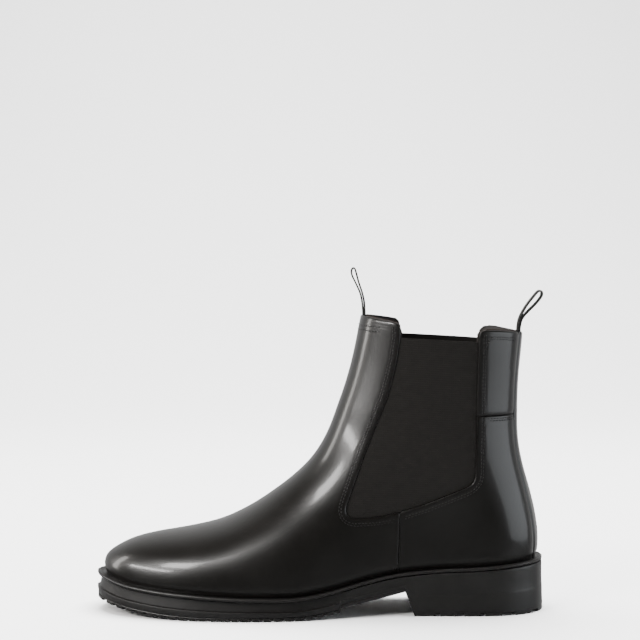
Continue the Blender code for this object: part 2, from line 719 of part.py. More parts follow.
def pull_tab(name, path, pivot, material, collection):
    """A loop of webbing on an empty that lies on its folding line."""
    hinge = bpy.data.objects.new(name + "_hinge", None)
    hinge.empty_display_size = 0.01
    hinge.location = to_frame((pivot[0], pivot[1], 0.0))
    collection.objects.link(hinge)
    middle = dense_path(path, 3)
    vertices, faces = [], []
    for s, z in middle:
        for y in (-WEBBING_HALF_WIDTH, WEBBING_HALF_WIDTH):
            vertices.append(to_frame((s - pivot[0] + HALF_LENGTH, z - pivot[1], y)))
    for i in range(len(middle) - 1):
        faces.append((2 * i, 2 * i + 2, 2 * i + 3, 2 * i + 1))
    tab = new_object(name, vertices, faces, material, collection)
    tab.parent = hinge
    solidify = tab.modifiers.new("webbing", "SOLIDIFY")
    solidify.thickness = WEBBING * MM
    solidify.offset = 0.0
    solidify.use_even_offset = False
    return tab


# ---- materials and assembly ------------------------------------------------

def material(name, colour, roughness, metallic=0.0):
    made = bpy.data.materials.new(name)
    made.use_nodes = True
    shader = made.node_tree.nodes["Principled BSDF"]
    shader.inputs["Base Color"].default_value = (*colour, 1.0)
    shader.inputs["Roughness"].default_value = roughness
    shader.inputs["Metallic"].default_value = metallic
    made.diffuse_color = (*colour, 1.0)
    return made


def make_upper(parts):
    """Leather, elastic, linings and stiffeners."""
    black = (0.012, 0.012, 0.013)
    brown = (0.045, 0.032, 0.026)
    leather_pieces = (("vamp", vamp_region, 0), ("quarter_lateral", quarter_region, -1),
                      ("quarter_medial", quarter_region, 1),
                      ("rear_panel_lateral", rear_panel_region, -1),
                      ("rear_panel_medial", rear_panel_region, 1),
                      ("back_strip", strip_region, 0))
    for name, region, side in leather_pieces:
        thickness = STRIP_LEATHER if name == "back_strip" else LEATHER
        upper_piece(name, region, 0.0, thickness, material(name, black, 0.3), parts, side)
    for name, side in (("gore_lateral", -1), ("gore_medial", 1)):
        elastic = material(name, (0.02, 0.019, 0.018), 0.8)
        upper_piece(name, gore_region, MIDDLE_DEPTH, MIDDLE, elastic, parts, side)
    upper_piece("toe_puff", toe_puff_region, MIDDLE_DEPTH, MIDDLE,
                material("toe_puff", (0.5, 0.45, 0.36), 0.8), parts)
    upper_piece("heel_counter", counter_region, MIDDLE_DEPTH, MIDDLE,
                material("heel_counter", (0.42, 0.33, 0.22), 0.8), parts)
    for name, pivot in (("front_tab_anchor", FRONT_TAB_PIVOT),
                        ("rear_tab_anchor", REAR_TAB_PIVOT)):
        upper_piece(name, tab_end_region(pivot), MIDDLE_DEPTH, MIDDLE,
                    material(name, (0.05, 0.05, 0.052), 0.75), parts)
    linings = (("vamp_lining", vamp_lining_region, 0),
               ("quarter_lining_lateral", quarter_lining_region, -1),
               ("quarter_lining_medial", quarter_lining_region, 1))
    for name, region, side in linings:
        upper_piece(name, region, LINING_DEPTH, LINING, material(name, brown, 0.6), parts, side)


def make_sole(parts, cutters):
    """Sock liner, insole, shank, filler, welt, outsole and heel core."""
    full = round_stations(HEEL_S, TOE_S, 32)
    inner_reach = -WALL - 3 * GAP
    liner_low = -(GAP + INSOLE + GAP + NAIL_HEAD + GAP)
    layered_solid("sock_liner", full, [level(liner_low, inner_reach),
                                       level(liner_low - SOCK_LINER, inner_reach)],
                  material("sock_liner", (0.05, 0.036, 0.028), 0.7), parts)
    insole = layered_solid("insole", full, [level(-GAP, inner_reach),
                                            level(-GAP - INSOLE, inner_reach)],
                           material("insole", (0.35, 0.26, 0.17), 0.8), parts)
    layered_solid("welt", full,
                  [edge_level(WELT, 0.5), edge_level(WELT - 0.5, 0.0), edge_level(0.5, 0.0),
                   edge_level(0.0, 0.6), edge_level(0.0, WELT_WIDTH),
                   edge_level(WELT, WELT_WIDTH)],
                  material("welt", (0.016, 0.016, 0.017), 0.5), parts, hollow=True)
    front = np.concatenate([np.linspace(FILLER[0], 240.0, 8),
                            240.0 + (FILLER[1] - 240.0) * np.sin(np.linspace(0, np.pi / 2, 6))[1:]])
    filler_inset = WELT_WIDTH + GAP + 1.0
    layered_solid("cork_filler", front, [edge_level(WELT, filler_inset),
                                         edge_level(0.0, filler_inset)],
                  material("cork_filler", (0.36, 0.22, 0.11), 0.9), parts)
    strap_outline("shank", *SHANK, SHANK_HALF_WIDTH, lambda s: feather_z(s) - 2.0,
                  lambda s: feather_z(s) - 0.5,
                  material("shank", (0.45, 0.45, 0.46), 0.35, 1.0), parts)
    make_outsole(material("outsole", (0.014, 0.014, 0.015), 0.6), parts, cutters)
    core = pocket_solid("heel_core", GAP, -GAP,
                        material("heel_core", (0.1, 0.1, 0.1), 0.8), parts)
    steel = material("heel_nail", (0.5, 0.48, 0.42), 0.4, 1.0)
    for number, (s, y) in enumerate(NAIL_PLACES, start=1):
        nail = turned(f"heel_nail_{number}",
                      nail_shape(NAIL_HEAD_RADIUS, NAIL_RADIUS, NAIL_HEAD, NAIL_LENGTH),
                      steel, parts)
        hole = turned(f"nail_hole_cutter_{number}",
                      nail_shape(NAIL_RADIUS + GAP, NAIL_RADIUS + GAP, NAIL_HEAD, NAIL_LENGTH + 1.0),
                      None, cutters)
        for thing in (nail, hole):
            place_nail(thing, s, y)
        cut(core, hole)
        cut(insole, hole)


def make_tabs(parts):
    """The two webbing pull tabs on their folding lines."""
    for name, path, pivot in (("front_pull_tab", FRONT_TAB_PATH, FRONT_TAB_PIVOT),
                              ("rear_pull_tab", REAR_TAB_PATH, REAR_TAB_PIVOT)):
        pull_tab(name, path, pivot, material(name, (0.05, 0.05, 0.052), 0.75), parts)


def main():
    for thing in list(bpy.data.objects):
        bpy.data.objects.remove(thing, do_unlink=True)
    parts = bpy.data.collections.new(OBJECT_NAME)
    cutters = bpy.data.collections.new("cutters")
    for collection in (parts, cutters):
        bpy.context.scene.collection.children.link(collection)
    make_upper(parts)
    make_sole(parts, cutters)
    make_tabs(parts)


main()
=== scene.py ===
"""The looks of the chelsea boot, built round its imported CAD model.

The upper's surface is the CAD's own, from the same driving dimensions, with a fine mesh,
rolled leather edges and stitches. Side-view places (s, z) are in millimetres: s is the
distance forward of the back of the heel, z the height above the floor.
"""

import bmesh
import bpy
import numpy as np
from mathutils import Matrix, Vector


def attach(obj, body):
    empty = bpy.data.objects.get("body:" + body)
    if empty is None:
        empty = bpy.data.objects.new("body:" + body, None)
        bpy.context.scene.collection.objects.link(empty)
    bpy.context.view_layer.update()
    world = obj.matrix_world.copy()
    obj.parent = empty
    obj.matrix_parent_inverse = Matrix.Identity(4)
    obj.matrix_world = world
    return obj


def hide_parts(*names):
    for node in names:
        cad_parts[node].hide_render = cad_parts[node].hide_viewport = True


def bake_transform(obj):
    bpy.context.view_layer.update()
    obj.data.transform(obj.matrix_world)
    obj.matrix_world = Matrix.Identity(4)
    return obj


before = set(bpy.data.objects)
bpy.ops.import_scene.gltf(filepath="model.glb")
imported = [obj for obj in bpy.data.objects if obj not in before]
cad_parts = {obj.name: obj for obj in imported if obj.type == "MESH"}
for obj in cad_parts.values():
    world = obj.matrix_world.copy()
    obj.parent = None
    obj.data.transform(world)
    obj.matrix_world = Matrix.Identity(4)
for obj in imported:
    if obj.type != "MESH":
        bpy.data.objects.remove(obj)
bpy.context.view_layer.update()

# ---- driving dimensions, in millimetres ------------------------------------

MM = 0.001
SOLE_LENGTH = 302.0
HALF_LENGTH = SOLE_LENGTH / 2.0
GAP = 0.3
UPPER_LIFT = 0.7
LAYER_GAP = 0.5

LEATHER = 1.5
STRIP_LEATHER = 1.2
MIDDLE_DEPTH = LEATHER + LAYER_GAP
MIDDLE = 0.8
LINING_DEPTH = MIDDLE_DEPTH + MIDDLE + LAYER_GAP
LINING = 0.8
WALL = LINING_DEPTH + LINING

TOE_S = 296.9
HEEL_S = 4.6
HEEL_EDGE = 3.9
HEEL_FLARE = 0.6
TOE_EDGE = 4.7
WELT = 2.5
WELT_WIDTH = 14.0
INSOLE = 2.5
SOCK_LINER = 1.2
LUG_ZONE = (138.5, 290.0)
LUG_PITCH = 6.8
LUG_GAP = 2.2
NOTCH_DEPTH = 5.0
# Notches along the heel's lower edge: (s, width).
HEEL_NOTCHES = ((11.0, 4.0), (27.0, 8.0), (43.5, 2.6), (58.0, 5.0), (73.0, 2.6))
BREAST_TOP = 94.9
BREAST_BOTTOM = 88.6
FILLER = (150.0, 272.0)
NAIL_HEAD = 0.6

WEBBING = 1.15
WEBBING_HALF_WIDTH = 4.7

# Height of the feather line, where the upper meets the sole, along s.
FEATHER = ((0, 36.0), (24, 34.0), (45, 32.4), (71, 31.2), (98, 28.7), (122, 24.1),
           (142, 19.0), (163, 15.4), (190, 15.0), (215, 15.7), (237, 17.0), (262, 18.9),
           (285, 21.8), (302, 26.3))

# Underside of the sole's lugs along s, from the arch to the toe.
TREAD = ((BREAST_TOP, 16.4), (108, 13.2), (122, 10.3), (138, 7.2))
LUGS = ((138.5, 4.2), (152, 1.6), (166, 0.2), (176, 0.0), (232, 0.0), (255, 1.3), (275, 3.7),
        (290, 6.6), (302, 9.9))

# Plan half widths of the upper at the feather line: (s, half width), heel to toe.
LATERAL_PLAN = ((4.6, 0.0), (6.0, 9.5), (10.5, 18.0), (19.0, 25.0), (32.0, 29.6), (52.0, 31.3),
                (80.0, 31.2), (108.0, 33.6), (138.0, 40.5), (165.0, 47.0), (190.0, 49.5),
                (215.0, 49.0), (240.0, 45.6), (262.0, 38.8), (279.0, 29.8), (289.5, 20.0),
                (295.2, 10.0), (296.9, 0.0))
MEDIAL_PLAN = ((4.6, 0.0), (6.0, 9.5), (10.5, 18.0), (19.0, 24.8), (32.0, 29.0), (52.0, 30.0),
               (80.0, 28.6), (108.0, 29.4), (138.0, 35.6), (165.0, 43.2), (190.0, 48.2),
               (210.0, 49.5), (236.0, 47.2), (258.0, 41.0), (276.0, 31.8), (288.0, 21.0),
               (294.8, 10.4), (296.9, 0.0))

# Half width of the ankle and shaft at each height.
SHAFT_PLAN = ((30.0, 33.0), (60.0, 34.5), (85.0, 35.4), (115.0, 34.6), (145.0, 33.2),
              (175.0, 33.2), (205.0, 34.2))

# Back of the boot seen from the side: (z, s).
BACK = ((34.0, 4.6), (42.4, 4.0), (52.0, 4.1), (64.2, 5.8), (80.6, 9.6), (96.9, 14.2),
        (113.2, 17.5), (135.0, 18.2), (156.6, 17.5), (178.2, 15.5), (205.0, 13.6))

# Ribs of the upper. Each joins a point of the front profile (s, z) to a point of the base
# line, which runs along the feather line from the toe to the heel and then up the back.
# On the feather line the point is given by its s, and up the back by its height.
FEATHER_RIBS = ((296.9, 31.0, 296.9), (294.7, 36.9, 290.0), (286.5, 42.6, 277.0),
                (275.6, 47.6, 261.0), (259.4, 51.4, 243.0), (242.4, 54.0, 224.0),
                (218.0, 59.6, 200.0), (197.0, 69.7, 176.0), (180.8, 80.6, 152.0),
                (167.2, 91.4, 126.0), (156.6, 102.3, 98.0), (149.4, 113.2, 68.0),
                (145.0, 122.6, 40.0), (143.0, 128.2, 18.0), (141.8, 131.8, 8.0),
                (140.9, 134.6, 4.6))
BACK_RIBS = ((139.3, 139.2, 45.0), (136.7, 146.2, 61.0), (133.3, 156.6, 86.0),
             (130.3, 167.4, 112.0), (127.8, 179.0, 140.0), (125.9, 189.0, 166.0),
             (123.7, 201.0, 195.0))
# Mesh rows from each rib to the next, and mesh columns on each side of the front line.
RIB_ROWS = (9, 8, 8, 8, 8, 10, 10, 8, 8, 8, 8, 8, 8, 6, 5, 6, 5, 6, 6, 6, 5, 7)
COLUMNS = 52

# Outlines on the side view: (s, z, corner radius).
FAR = 400.0
SEAM_TOP = (98.1, 69.0)
SEAM_BOTTOM = (100.2, 0.0)
WINDOW_FRONT = ((98.2, 184.0, 20.0), (100.6, 168.4, 60.0), (105.7, 147.2, 80.0),
                (122.3, 105.6, 80.0), (136.5, 64.9, 7.5))
WINDOW_BOTTOM = ((110.8, 65.8, 60.0), (98.1, 68.5, 60.0), (82.6, 73.3, 60.0), (47.8, 87.2, 11.0))
WINDOW_REAR = ((46.2, 182.0, 20.0),)
GORE_TOP = ((98.2, 184.1), (46.2, 181.1))
GORE_FLANGE = 7.0
VAMP_TOP = ((FAR, 203.0, 0.0), (124.0, 198.3, 0.0), (98.2, 193.6, 13.0))
REAR_TOP = ((45.8, 189.4, 9.5), (31.6, 188.8, 40.0), (14.9, 186.8, 0.0), (-FAR, 186.8, 0.0))
REAR_SEAM_Z = 132.3
BACK_STRIP_HALF_WIDTH = ((30.0, 12.6), (90.0, 12.0), (140.0, 11.0), (190.0, 10.6))
MEDIAL_SETBACK = (1.4, 5.8)
LEAST_CUT = 0.08

# Seams: the leather's laps, its rolled edges, the stitch rows and the curl at the feather line.
STRIP_LAP = 0.4
LINING_RIM = 0.4
LEAST_LEATHER = 0.4
EDGE_ROLL = 1.5
EDGE_FALL = 0.9
EDGE_BAND = 3.2
BAND_FALL = 0.22
STITCH_ROWS = (3.3, 4.8)
STITCH_BED = 0.08
STITCH_BED_WIDTH = 0.62
SEAM_ROWS = (1.8, 3.1)
PANEL_ROWS = (2.0, 3.5)
TOP_ROWS = (4.6, 6.0)
STITCH_PITCH = 2.3
STITCH_LENGTH = 1.55
STITCH_SINK = 0.05
THREAD_RADIUS = 0.3
TUCK = 1.5
TUCK_HEIGHT = 4.5
CURL = 0.8
# The vamp bends at the ball ahead of this station, and at the ankle behind it.
VAMP_SPLIT = 178.0
RIB_PITCH = 1.45
RIB_HEIGHT = 0.16
LUG_RAMP = 0.35

# Distances from a sheet's edge at which its mesh is cut, so that the edge can be rolled.
BANDS = (0.12, 0.35, 0.7, 1.3, 2.0, 2.7, 3.4, 4.1, 4.8, 5.6, 6.6)
LINING_BANDS = (0.2, 0.6)
SMOOTH_PASSES = 14
SMOOTH_EASE = 0.18
NORMAL_STEP = 0.3

# Pull tabs: the path of the webbing's middle on the side view, for each tab, up the
# front strand, round the loop and down the back strand.
FRONT_TAB_PIVOT = (121.5, 199.3)
FRONT_TAB_PATH = ((122.2, 199.6), (122.6, 206.0), (124.0, 212.6), (127.0, 219.4),
                  (129.6, 225.0), (129.6, 228.6), (127.8, 229.2), (126.6, 226.0),
                  (124.9, 219.6), (122.6, 212.8), (121.2, 206.2), (120.8, 199.6))
REAR_TAB_PIVOT = (17.2, 188.1)
REAR_TAB_PATH = ((17.9, 188.4), (17.7, 191.0), (16.4, 196.4), (12.2, 204.0), (7.8, 209.8),
                 (4.2, 213.8), (2.0, 213.6), (2.2, 210.4), (6.0, 205.4), (11.2, 200.2),
                 (15.0, 195.6), (16.3, 191.2), (16.5, 188.4))


# ---- curves ----------------------------------------------------------------

def smooth_curve(knots):
    """A cubic through (x, y) knots as a function of x that takes arrays."""
    xs, ys = (np.array(values, dtype=float) for values in zip(*knots))
    slopes = np.gradient(ys, xs)

    def value(x):
        x = np.clip(x, xs[0], xs[-1])
        i = np.clip(np.searchsorted(xs, x) - 1, 0, len(xs) - 2)
        step = xs[i + 1] - xs[i]
        t = (x - xs[i]) / step
        rise = ys[i + 1] - ys[i]
        bend_a = slopes[i] * step - rise
        bend_b = rise - slopes[i + 1] * step
        return ys[i] + t * rise + t * (1 - t) * ((1 - t) * bend_a + t * bend_b)

    return value


def dense_path(points, steps=16):
    """Points along a smooth open path through the given ones."""
    places = np.arange(len(points), dtype=float)
    at = np.linspace(0.0, len(points) - 1.0, (len(points) - 1) * steps + 1)
    axes = zip(*points)
    return np.column_stack([smooth_curve(tuple(zip(places, axis)))(at) for axis in axes])


def smoothstep(x):
    x = np.clip(x, 0.0, 1.0)
    return x * x * (3.0 - 2.0 * x)


feather_z = smooth_curve(FEATHER)
back_s = smooth_curve(BACK)
shaft_half_width = smooth_curve(SHAFT_PLAN)
strip_half_width = smooth_curve(BACK_STRIP_HALF_WIDTH)
LATERAL_PATH = dense_path(LATERAL_PLAN)
MEDIAL_PATH = dense_path(MEDIAL_PLAN)


def plan_half_width(s, side):
    """Half width of the upper at the feather line; side is -1 lateral, +1 medial."""
    path = LATERAL_PATH if side < 0 else MEDIAL_PATH
    return np.interp(s, path[:, 0], path[:, 1])


def rib_base(travel):
    """Point on the base line; travel is -s on the feather line, then rises up the back."""
    corner_z = feather_z(HEEL_S) + UPPER_LIFT
    s_feather = -travel
    z_back = corner_z + travel + HEEL_S
    on_feather = travel < -HEEL_S
    s = np.where(on_feather, s_feather, back_s(z_back))
    z = np.where(on_feather, feather_z(s_feather) + UPPER_LIFT, z_back)
    return s, z


def rib_curves():
    """Front profile and base travel as smooth functions of the rib number."""
    corner_z = float(feather_z(HEEL_S)) + UPPER_LIFT
    front_s = [rib[0] for rib in FEATHER_RIBS + BACK_RIBS]
    front_z = [rib[1] for rib in FEATHER_RIBS + BACK_RIBS]
    travel = [-rib[2] for rib in FEATHER_RIBS]
    travel += [rib[2] - corner_z - HEEL_S for rib in BACK_RIBS]
    number = range(len(front_s))
    return [smooth_curve(tuple(zip(number, values))) for values in (front_s, front_z, travel)]


RIB_FRONT_S, RIB_FRONT_Z, RIB_TRAVEL = rib_curves()
PROFILE_AT = np.linspace(0.0, len(RIB_ROWS), 400)
PROFILE_S = RIB_FRONT_S(PROFILE_AT)
PROFILE_Z = RIB_FRONT_Z(PROFILE_AT)


# ---- the upper's outer surface ---------------------------------------------

def half_width(s, z, side):
    """Half width of the upper's outer surface at a point of the side view."""
    rise = z - feather_z(s)
    top = np.interp(s, PROFILE_S[::-1], PROFILE_Z[::-1]) - feather_z(s)
    lean = (back_s(z) - HEEL_S) * (1.0 - smoothstep((s - back_s(z)) / 110.0))
    roof = np.clip(1.0 - np.clip(rise / top, 0.0, 1.0) ** 2.6, 0.0, 1.0) ** 0.5
    foot = plan_half_width(s - lean, side) * roof
    front = np.interp(z, PROFILE_Z, PROFILE_S)
    along = np.clip((s - back_s(z)) / (front - back_s(z)), 0.0, 1.0)
    oval = np.clip(1.0 - np.abs(2.0 * along - 1.0) ** 2.3, 0.0, 1.0) ** (1.0 / 2.2)
    shaft = shaft_half_width(z) * oval
    blend = smoothstep((z - 42.0) / 78.0)
    return foot * (1.0 - blend) + shaft * blend


def side_normal(s, z, side, step):
    """Outward unit normals of one side of the upper's outer surface."""
    along = (half_width(s + step, z, side) - half_width(s - step, z, side)) / (2 * step)
    up = (half_width(s, z + step, side) - half_width(s, z - step, side)) / (2 * step)
    normal = np.stack([-along, -up, side * np.ones_like(s)], axis=-1)
    return normal / np.linalg.norm(normal, axis=-1, keepdims=True)


def upper_grid():
    """Side-view places and 3-D points of the upper's outer surface, one row per rib line."""
    numbers = [np.linspace(i, i + 1, n, endpoint=False) for i, n in enumerate(RIB_ROWS)]
    numbers = np.append(np.concatenate(numbers), len(RIB_ROWS))
    rows = []
    for number in numbers:
        front = np.array([RIB_FRONT_S(number), RIB_FRONT_Z(number)])
        base = np.array(rib_base(RIB_TRAVEL(number)))
        at = np.linspace(0.0, 1.0, COLUMNS + 1)
        even = 1.0 - (1.0 - at) ** (1.3 + 0.6 * smoothstep(number / 1.5))
        both = 0.5 - 0.5 * np.cos(np.pi * at)
        up_back = smoothstep((number - len(FEATHER_RIBS) + 6.0) / 5.0)
        share = even * (1.0 - up_back) + both * up_back
        half = base + (front - base) * share[:, None]
        row = []
        for side, points in ((-1, half), (1, half[-2::-1])):
            width = half_width(points[:, 0], points[:, 1], side)
            closed = (number == 0) | (points[:, 0] >= front[0])
            width = np.where(closed, 0.0, width)
            width[np.isclose(points[:, 0], base[0]) & (RIB_TRAVEL(number) >= -HEEL_S)] = 0.0
            row.append(np.column_stack([points, side * width]))
        rows.append(np.vstack(row))
    return np.array(rows)


def surface_normals(grid):
    """Outward unit normals of the grid's points, averaged over the faces that meet there."""
    corners = (grid[:-1, :-1], grid[1:, :-1], grid[1:, 1:], grid[:-1, 1:])
    face_normals = np.cross(corners[2] - corners[0], corners[3] - corners[1])
    normals = np.zeros_like(grid)
    for rows in (slice(0, -1), slice(1, None)):
        for columns in (slice(0, -1), slice(1, None)):
            normals[rows, columns] += face_normals
    # Points that coincide, such as those of the toe's line and the back seam, share a normal.
    shared = {}
    keys = [tuple(place) for place in np.round(grid.reshape(-1, 3), 4)]
    for key, normal in zip(keys, normals.reshape(-1, 3)):
        shared[key] = shared.get(key, 0.0) + normal
    normals = np.array([shared[key] for key in keys]).reshape(grid.shape)
    return normals / np.linalg.norm(normals, axis=2, keepdims=True)


def to_frame(points):
    """(s, z, y) in millimetres to (x, y, z) in metres."""
    points = np.asarray(points, dtype=float)
    return np.stack([HALF_LENGTH - points[..., 0], points[..., 2], points[..., 1]], axis=-1) * MM


# ---- outlines on the side view ---------------------------------------------

def rounded_outline(corners):
    """A closed outline through (s, z, radius) corners, each rounded by an arc."""
    points = []
    count = len(corners)
    for i, (s, z, radius) in enumerate(corners):
        here = np.array([s, z])
        before = np.array(corners[i - 1][:2]) - here
        after = np.array(corners[(i + 1) % count][:2]) - here
        if radius == 0.0:
            points.append(here)
            continue
        room = 0.45 * min(np.linalg.norm(before), np.linalg.norm(after))
        before /= np.linalg.norm(before)
        after /= np.linalg.norm(after)
        half_angle = 0.5 * np.arccos(np.clip(before @ after, -1.0, 1.0))
        reach = min(radius / np.tan(half_angle), room)
        start, end = here + before * reach, here + after * reach
        for t in np.linspace(0.0, 1.0, 9):
            points.append((1 - t) ** 2 * start + 2 * t * (1 - t) * here + t * t * end)
    return np.array(points)


def inside_distance(outline, s, z):
    """Signed distance to a closed outline, positive inside, in millimetres."""
    place = np.stack([s, z], axis=-1)
    nearest = np.full(s.shape, 1e9)
    crossings = np.zeros(s.shape, dtype=int)
    for a, b in zip(outline, np.roll(outline, -1, axis=0)):
        edge = b - a
        length = edge @ edge
        if length < 1e-12:
            continue
        t = np.clip(((place - a) @ edge) / length, 0.0, 1.0)
        nearest = np.minimum(nearest, np.linalg.norm(place - a - t[..., None] * edge, axis=-1))
        spans = (a[1] > z) != (b[1] > z)
        if abs(edge[1]) > 1e-12:
            crossings += spans & (s < a[0] + edge[0] * (z - a[1]) / edge[1])
    return np.where(crossings % 2 == 1, nearest, -nearest)


WINDOW = rounded_outline(((98.2, FAR, 0.0),) + WINDOW_FRONT + WINDOW_BOTTOM + WINDOW_REAR
                         + ((46.2, FAR, 0.0),))
VAMP_AREA = rounded_outline(((FAR, -FAR, 0.0),) + VAMP_TOP + WINDOW_FRONT
                            + ((110.8, 65.8, 60.0), SEAM_TOP + (0.0,), SEAM_BOTTOM + (0.0,),
                               SEAM_BOTTOM[:1] + (-FAR, 0.0)))
REAR_AREA = rounded_outline(((SEAM_BOTTOM[0], -FAR, 0.0), SEAM_BOTTOM + (0.0,), SEAM_TOP + (0.0,))
                            + WINDOW_BOTTOM[2:] + WINDOW_REAR + REAR_TOP + ((-FAR, -FAR, 0.0),))


def plan_ring(stations, reach):
    """Both halves of a plan outline, offset outward by reach from the feather line.

    Returns the lateral and the medial points (s, y), and the stations they belong to.
    """
    halves = []
    for side, path in ((-1, LATERAL_PATH), (1, MEDIAL_PATH)):
        direction = np.gradient(path, axis=0)
        direction /= np.linalg.norm(direction, axis=1, keepdims=True)
        normal = np.column_stack([-direction[:, 1], direction[:, 0]])
        normal[0], normal[-1] = (-1.0, 0.0), (1.0, 0.0)
        at = np.interp(stations, path[:, 0], np.arange(len(path)))
        index = np.arange(len(path))
        columns = []
        for axis in (0, 1):
            place = np.interp(at, index, path[:, axis])
            outward = np.interp(at, index, normal[:, axis])
            columns.append(place + outward * reach)
        halves.append(np.column_stack([columns[0], side * np.maximum(columns[1], 0.0)]))
    return halves


def sole_reach(s):
    """How far the sole's edge stands out from the feather line."""
    return HEEL_EDGE + (TOE_EDGE - HEEL_EDGE) * smoothstep((s - 95.0) / 80.0)


tread_z = smooth_curve(TREAD)
lug_z = smooth_curve(LUGS)


def sole_bottom(s):
    """Underside of the outsole: heel, breast, arch and lugged forepart."""
    heel = np.zeros_like(s)
    arch = tread_z(s)
    forepart = np.maximum(lug_z(s), 0.0)
    return np.where(s < BREAST_BOTTOM + 0.1, heel, np.where(s < LUG_ZONE[0] - 0.1, arch, forepart))


def side_groove(s):
    """Depth of the groove along the outsole's side wall, which fades out in the waist."""
    return 1.5 * smoothstep((s - 118.0) / 34.0)


def setback(s):
    """How much further back than the lateral side's lines the medial side's lines are."""
    front, rear = MEDIAL_SETBACK
    amount = front + (rear - front) * smoothstep((100.0 - s) / 50.0)
    return amount * smoothstep((120.0 - s) / 14.0) * smoothstep((s - 20.0) / 14.0)


def inside(outline, s, z, y):
    """Distance inside an outline, which is set back on the medial side."""
    return inside_distance(outline, s + np.where(y > 0.0, setback(s), 0.0), z) - GAP / 2


def beside_strip(s, z, y):
    return np.where(s < 60.0, np.abs(y) - strip_half_width(z), 30.0)


# Each region of the upper is a list of fields, and covers the places where all are positive.

def vamp_region(s, z, y):
    return [inside(VAMP_AREA, s, z, y)]


def quarter_region(s, z, y):
    return [inside(REAR_AREA, s, z, y), beside_strip(s, z, y) + STRIP_LAP,
            REAR_SEAM_Z - z - GAP / 2]


def rear_panel_region(s, z, y):
    return [inside(REAR_AREA, s, z, y), beside_strip(s, z, y) + STRIP_LAP,
            z - REAR_SEAM_Z - GAP / 2]


def strip_region(s, z, y):
    return [inside(REAR_AREA, s, z, y), -beside_strip(s, z, y)]


def vamp_lining_region(s, z, y):
    return [inside(VAMP_AREA, s, z, y) + LINING_RIM]


def quarter_lining_region(s, z, y):
    return [inside(REAR_AREA, s, z, y) + LINING_RIM]


# ---- how the leather's surface stands at its edges and seams ----------------

def edge_roll(reach):
    """How far a rolled edge falls away at a distance from the edge."""
    inward = np.clip(1.0 - reach / EDGE_ROLL, 0.0, 1.0)
    band = BAND_FALL * np.clip(1.0 - reach / EDGE_BAND, 0.0, 1.0)
    return band + EDGE_FALL * (1.0 - np.sqrt(1.0 - inward ** 2 * 0.97))


def stitch_beds(reach):
    """Shallow channels that the two stitch rows pull into the leather beside an edge."""
    return sum(STITCH_BED * np.exp(-((reach - row) / STITCH_BED_WIDTH) ** 2)
               for row in STITCH_ROWS)


def soft_waves(s, z):
    """The slight unevenness of leather that has been pulled over a last, in millimetres."""
    slow = np.sin(s / 11.3 + 0.6 * np.sin(z / 14.0)) * np.sin(z / 12.7 + 0.8)
    slower = np.sin(s / 23.0 - z / 19.0)
    return 0.05 * slow + 0.05 * slower


def lap(distance, width):
    """1 at a seam, fading to 0 away from it."""
    return np.exp(-np.clip(distance, 0.0, None) / width)


def strip_sink(z, y):
    """How far the leather beside the back strip lies lower, to pass under it."""
    return 0.3 * lap(np.abs(y) - strip_half_width(z), 2.0)


def tuck(s, z):
    """How far the leather curls in under itself just above the feather line."""
    height = z - feather_z(s) - UPPER_LIFT
    return TUCK * np.clip(1.0 - height / TUCK_HEIGHT, 0.0, 1.0) ** 2


def vamp_depth(s, z, y, reach):
    seam = np.where(z < SEAM_TOP[1] + 4.0, s - SEAM_TOP[0], 40.0)
    beds = np.where(z > feather_z(s) + 12.0, stitch_beds(reach), 0.0)
    free = np.where(z > feather_z(s) + 6.0, edge_roll(reach), 0.0)
    return free + beds - 0.35 * lap(seam, 4.0) + tuck(s, z)


def quarter_depth(s, z, y, reach):
    under_vamp = 0.45 * lap(np.where(z < SEAM_TOP[1] + 6.0, SEAM_TOP[0] - s, 40.0), 2.5)
    under_strip = strip_sink(z, y) * (s < 60.0)
    window = -inside(WINDOW, s, z, y)
    over_panel = REAR_SEAM_Z - z
    beds = stitch_beds(window) + np.where(window > 6.0, stitch_beds(over_panel), 0.0)
    edge = np.minimum(np.maximum(window, 0.0), np.maximum(over_panel, 0.0))
    return edge_roll(edge) + beds + under_vamp + under_strip + tuck(s, z)


def rear_panel_depth(s, z, y, reach):
    under_quarter = 0.3 * lap(z - REAR_SEAM_Z, 1.2)
    edge = inside(REAR_AREA, s, z, y)
    free = np.where(np.abs(y) < strip_half_width(z) + 1.0, 9.0, edge)
    return edge_roll(free) + stitch_beds(edge) + strip_sink(z, y) + under_quarter


def strip_depth(s, z, y, reach):
    return edge_roll(reach) - 0.4 + tuck(s, z)


def plain_depth(s, z, y, reach):
    return edge_roll(reach * 1.6) * 0.6


# ---- fine sheets -----------------------------------------------------------

def split_at(corners, field, level):
    """A polygon's part above a level of one of its points' values, and the part below."""
    above, below = [], []
    for here, there in zip(corners, corners[1:] + corners[:1]):
        (above if here[field] > level else below).append(here)
        if (here[field] > level) != (there[field] > level):
            share = (level - here[field]) / (there[field] - here[field])
            cut_point = here + (there - here) * share
            above.append(cut_point)
            below.append(cut_point)
    return above, below


def smoothed(grid):
    """The grid with its small kinks eased, its borders and the rows at the toe kept."""
    grid = grid.copy()
    for _ in range(SMOOTH_PASSES):
        inner = grid[1:-1, 1:-1]
        pull = grid[:-2, 1:-1] + grid[2:, 1:-1] + grid[1:-1, :-2] + grid[1:-1, 2:] - 4.0 * inner
        ease = np.full((len(inner), 1, 1), SMOOTH_EASE)
        ease[:3] = 0.0
        grid[1:-1, 1:-1] = inner + ease * pull
    return grid


GRID = smoothed(upper_grid())
SURFACE = np.concatenate([GRID, surface_normals(GRID)], axis=-1)


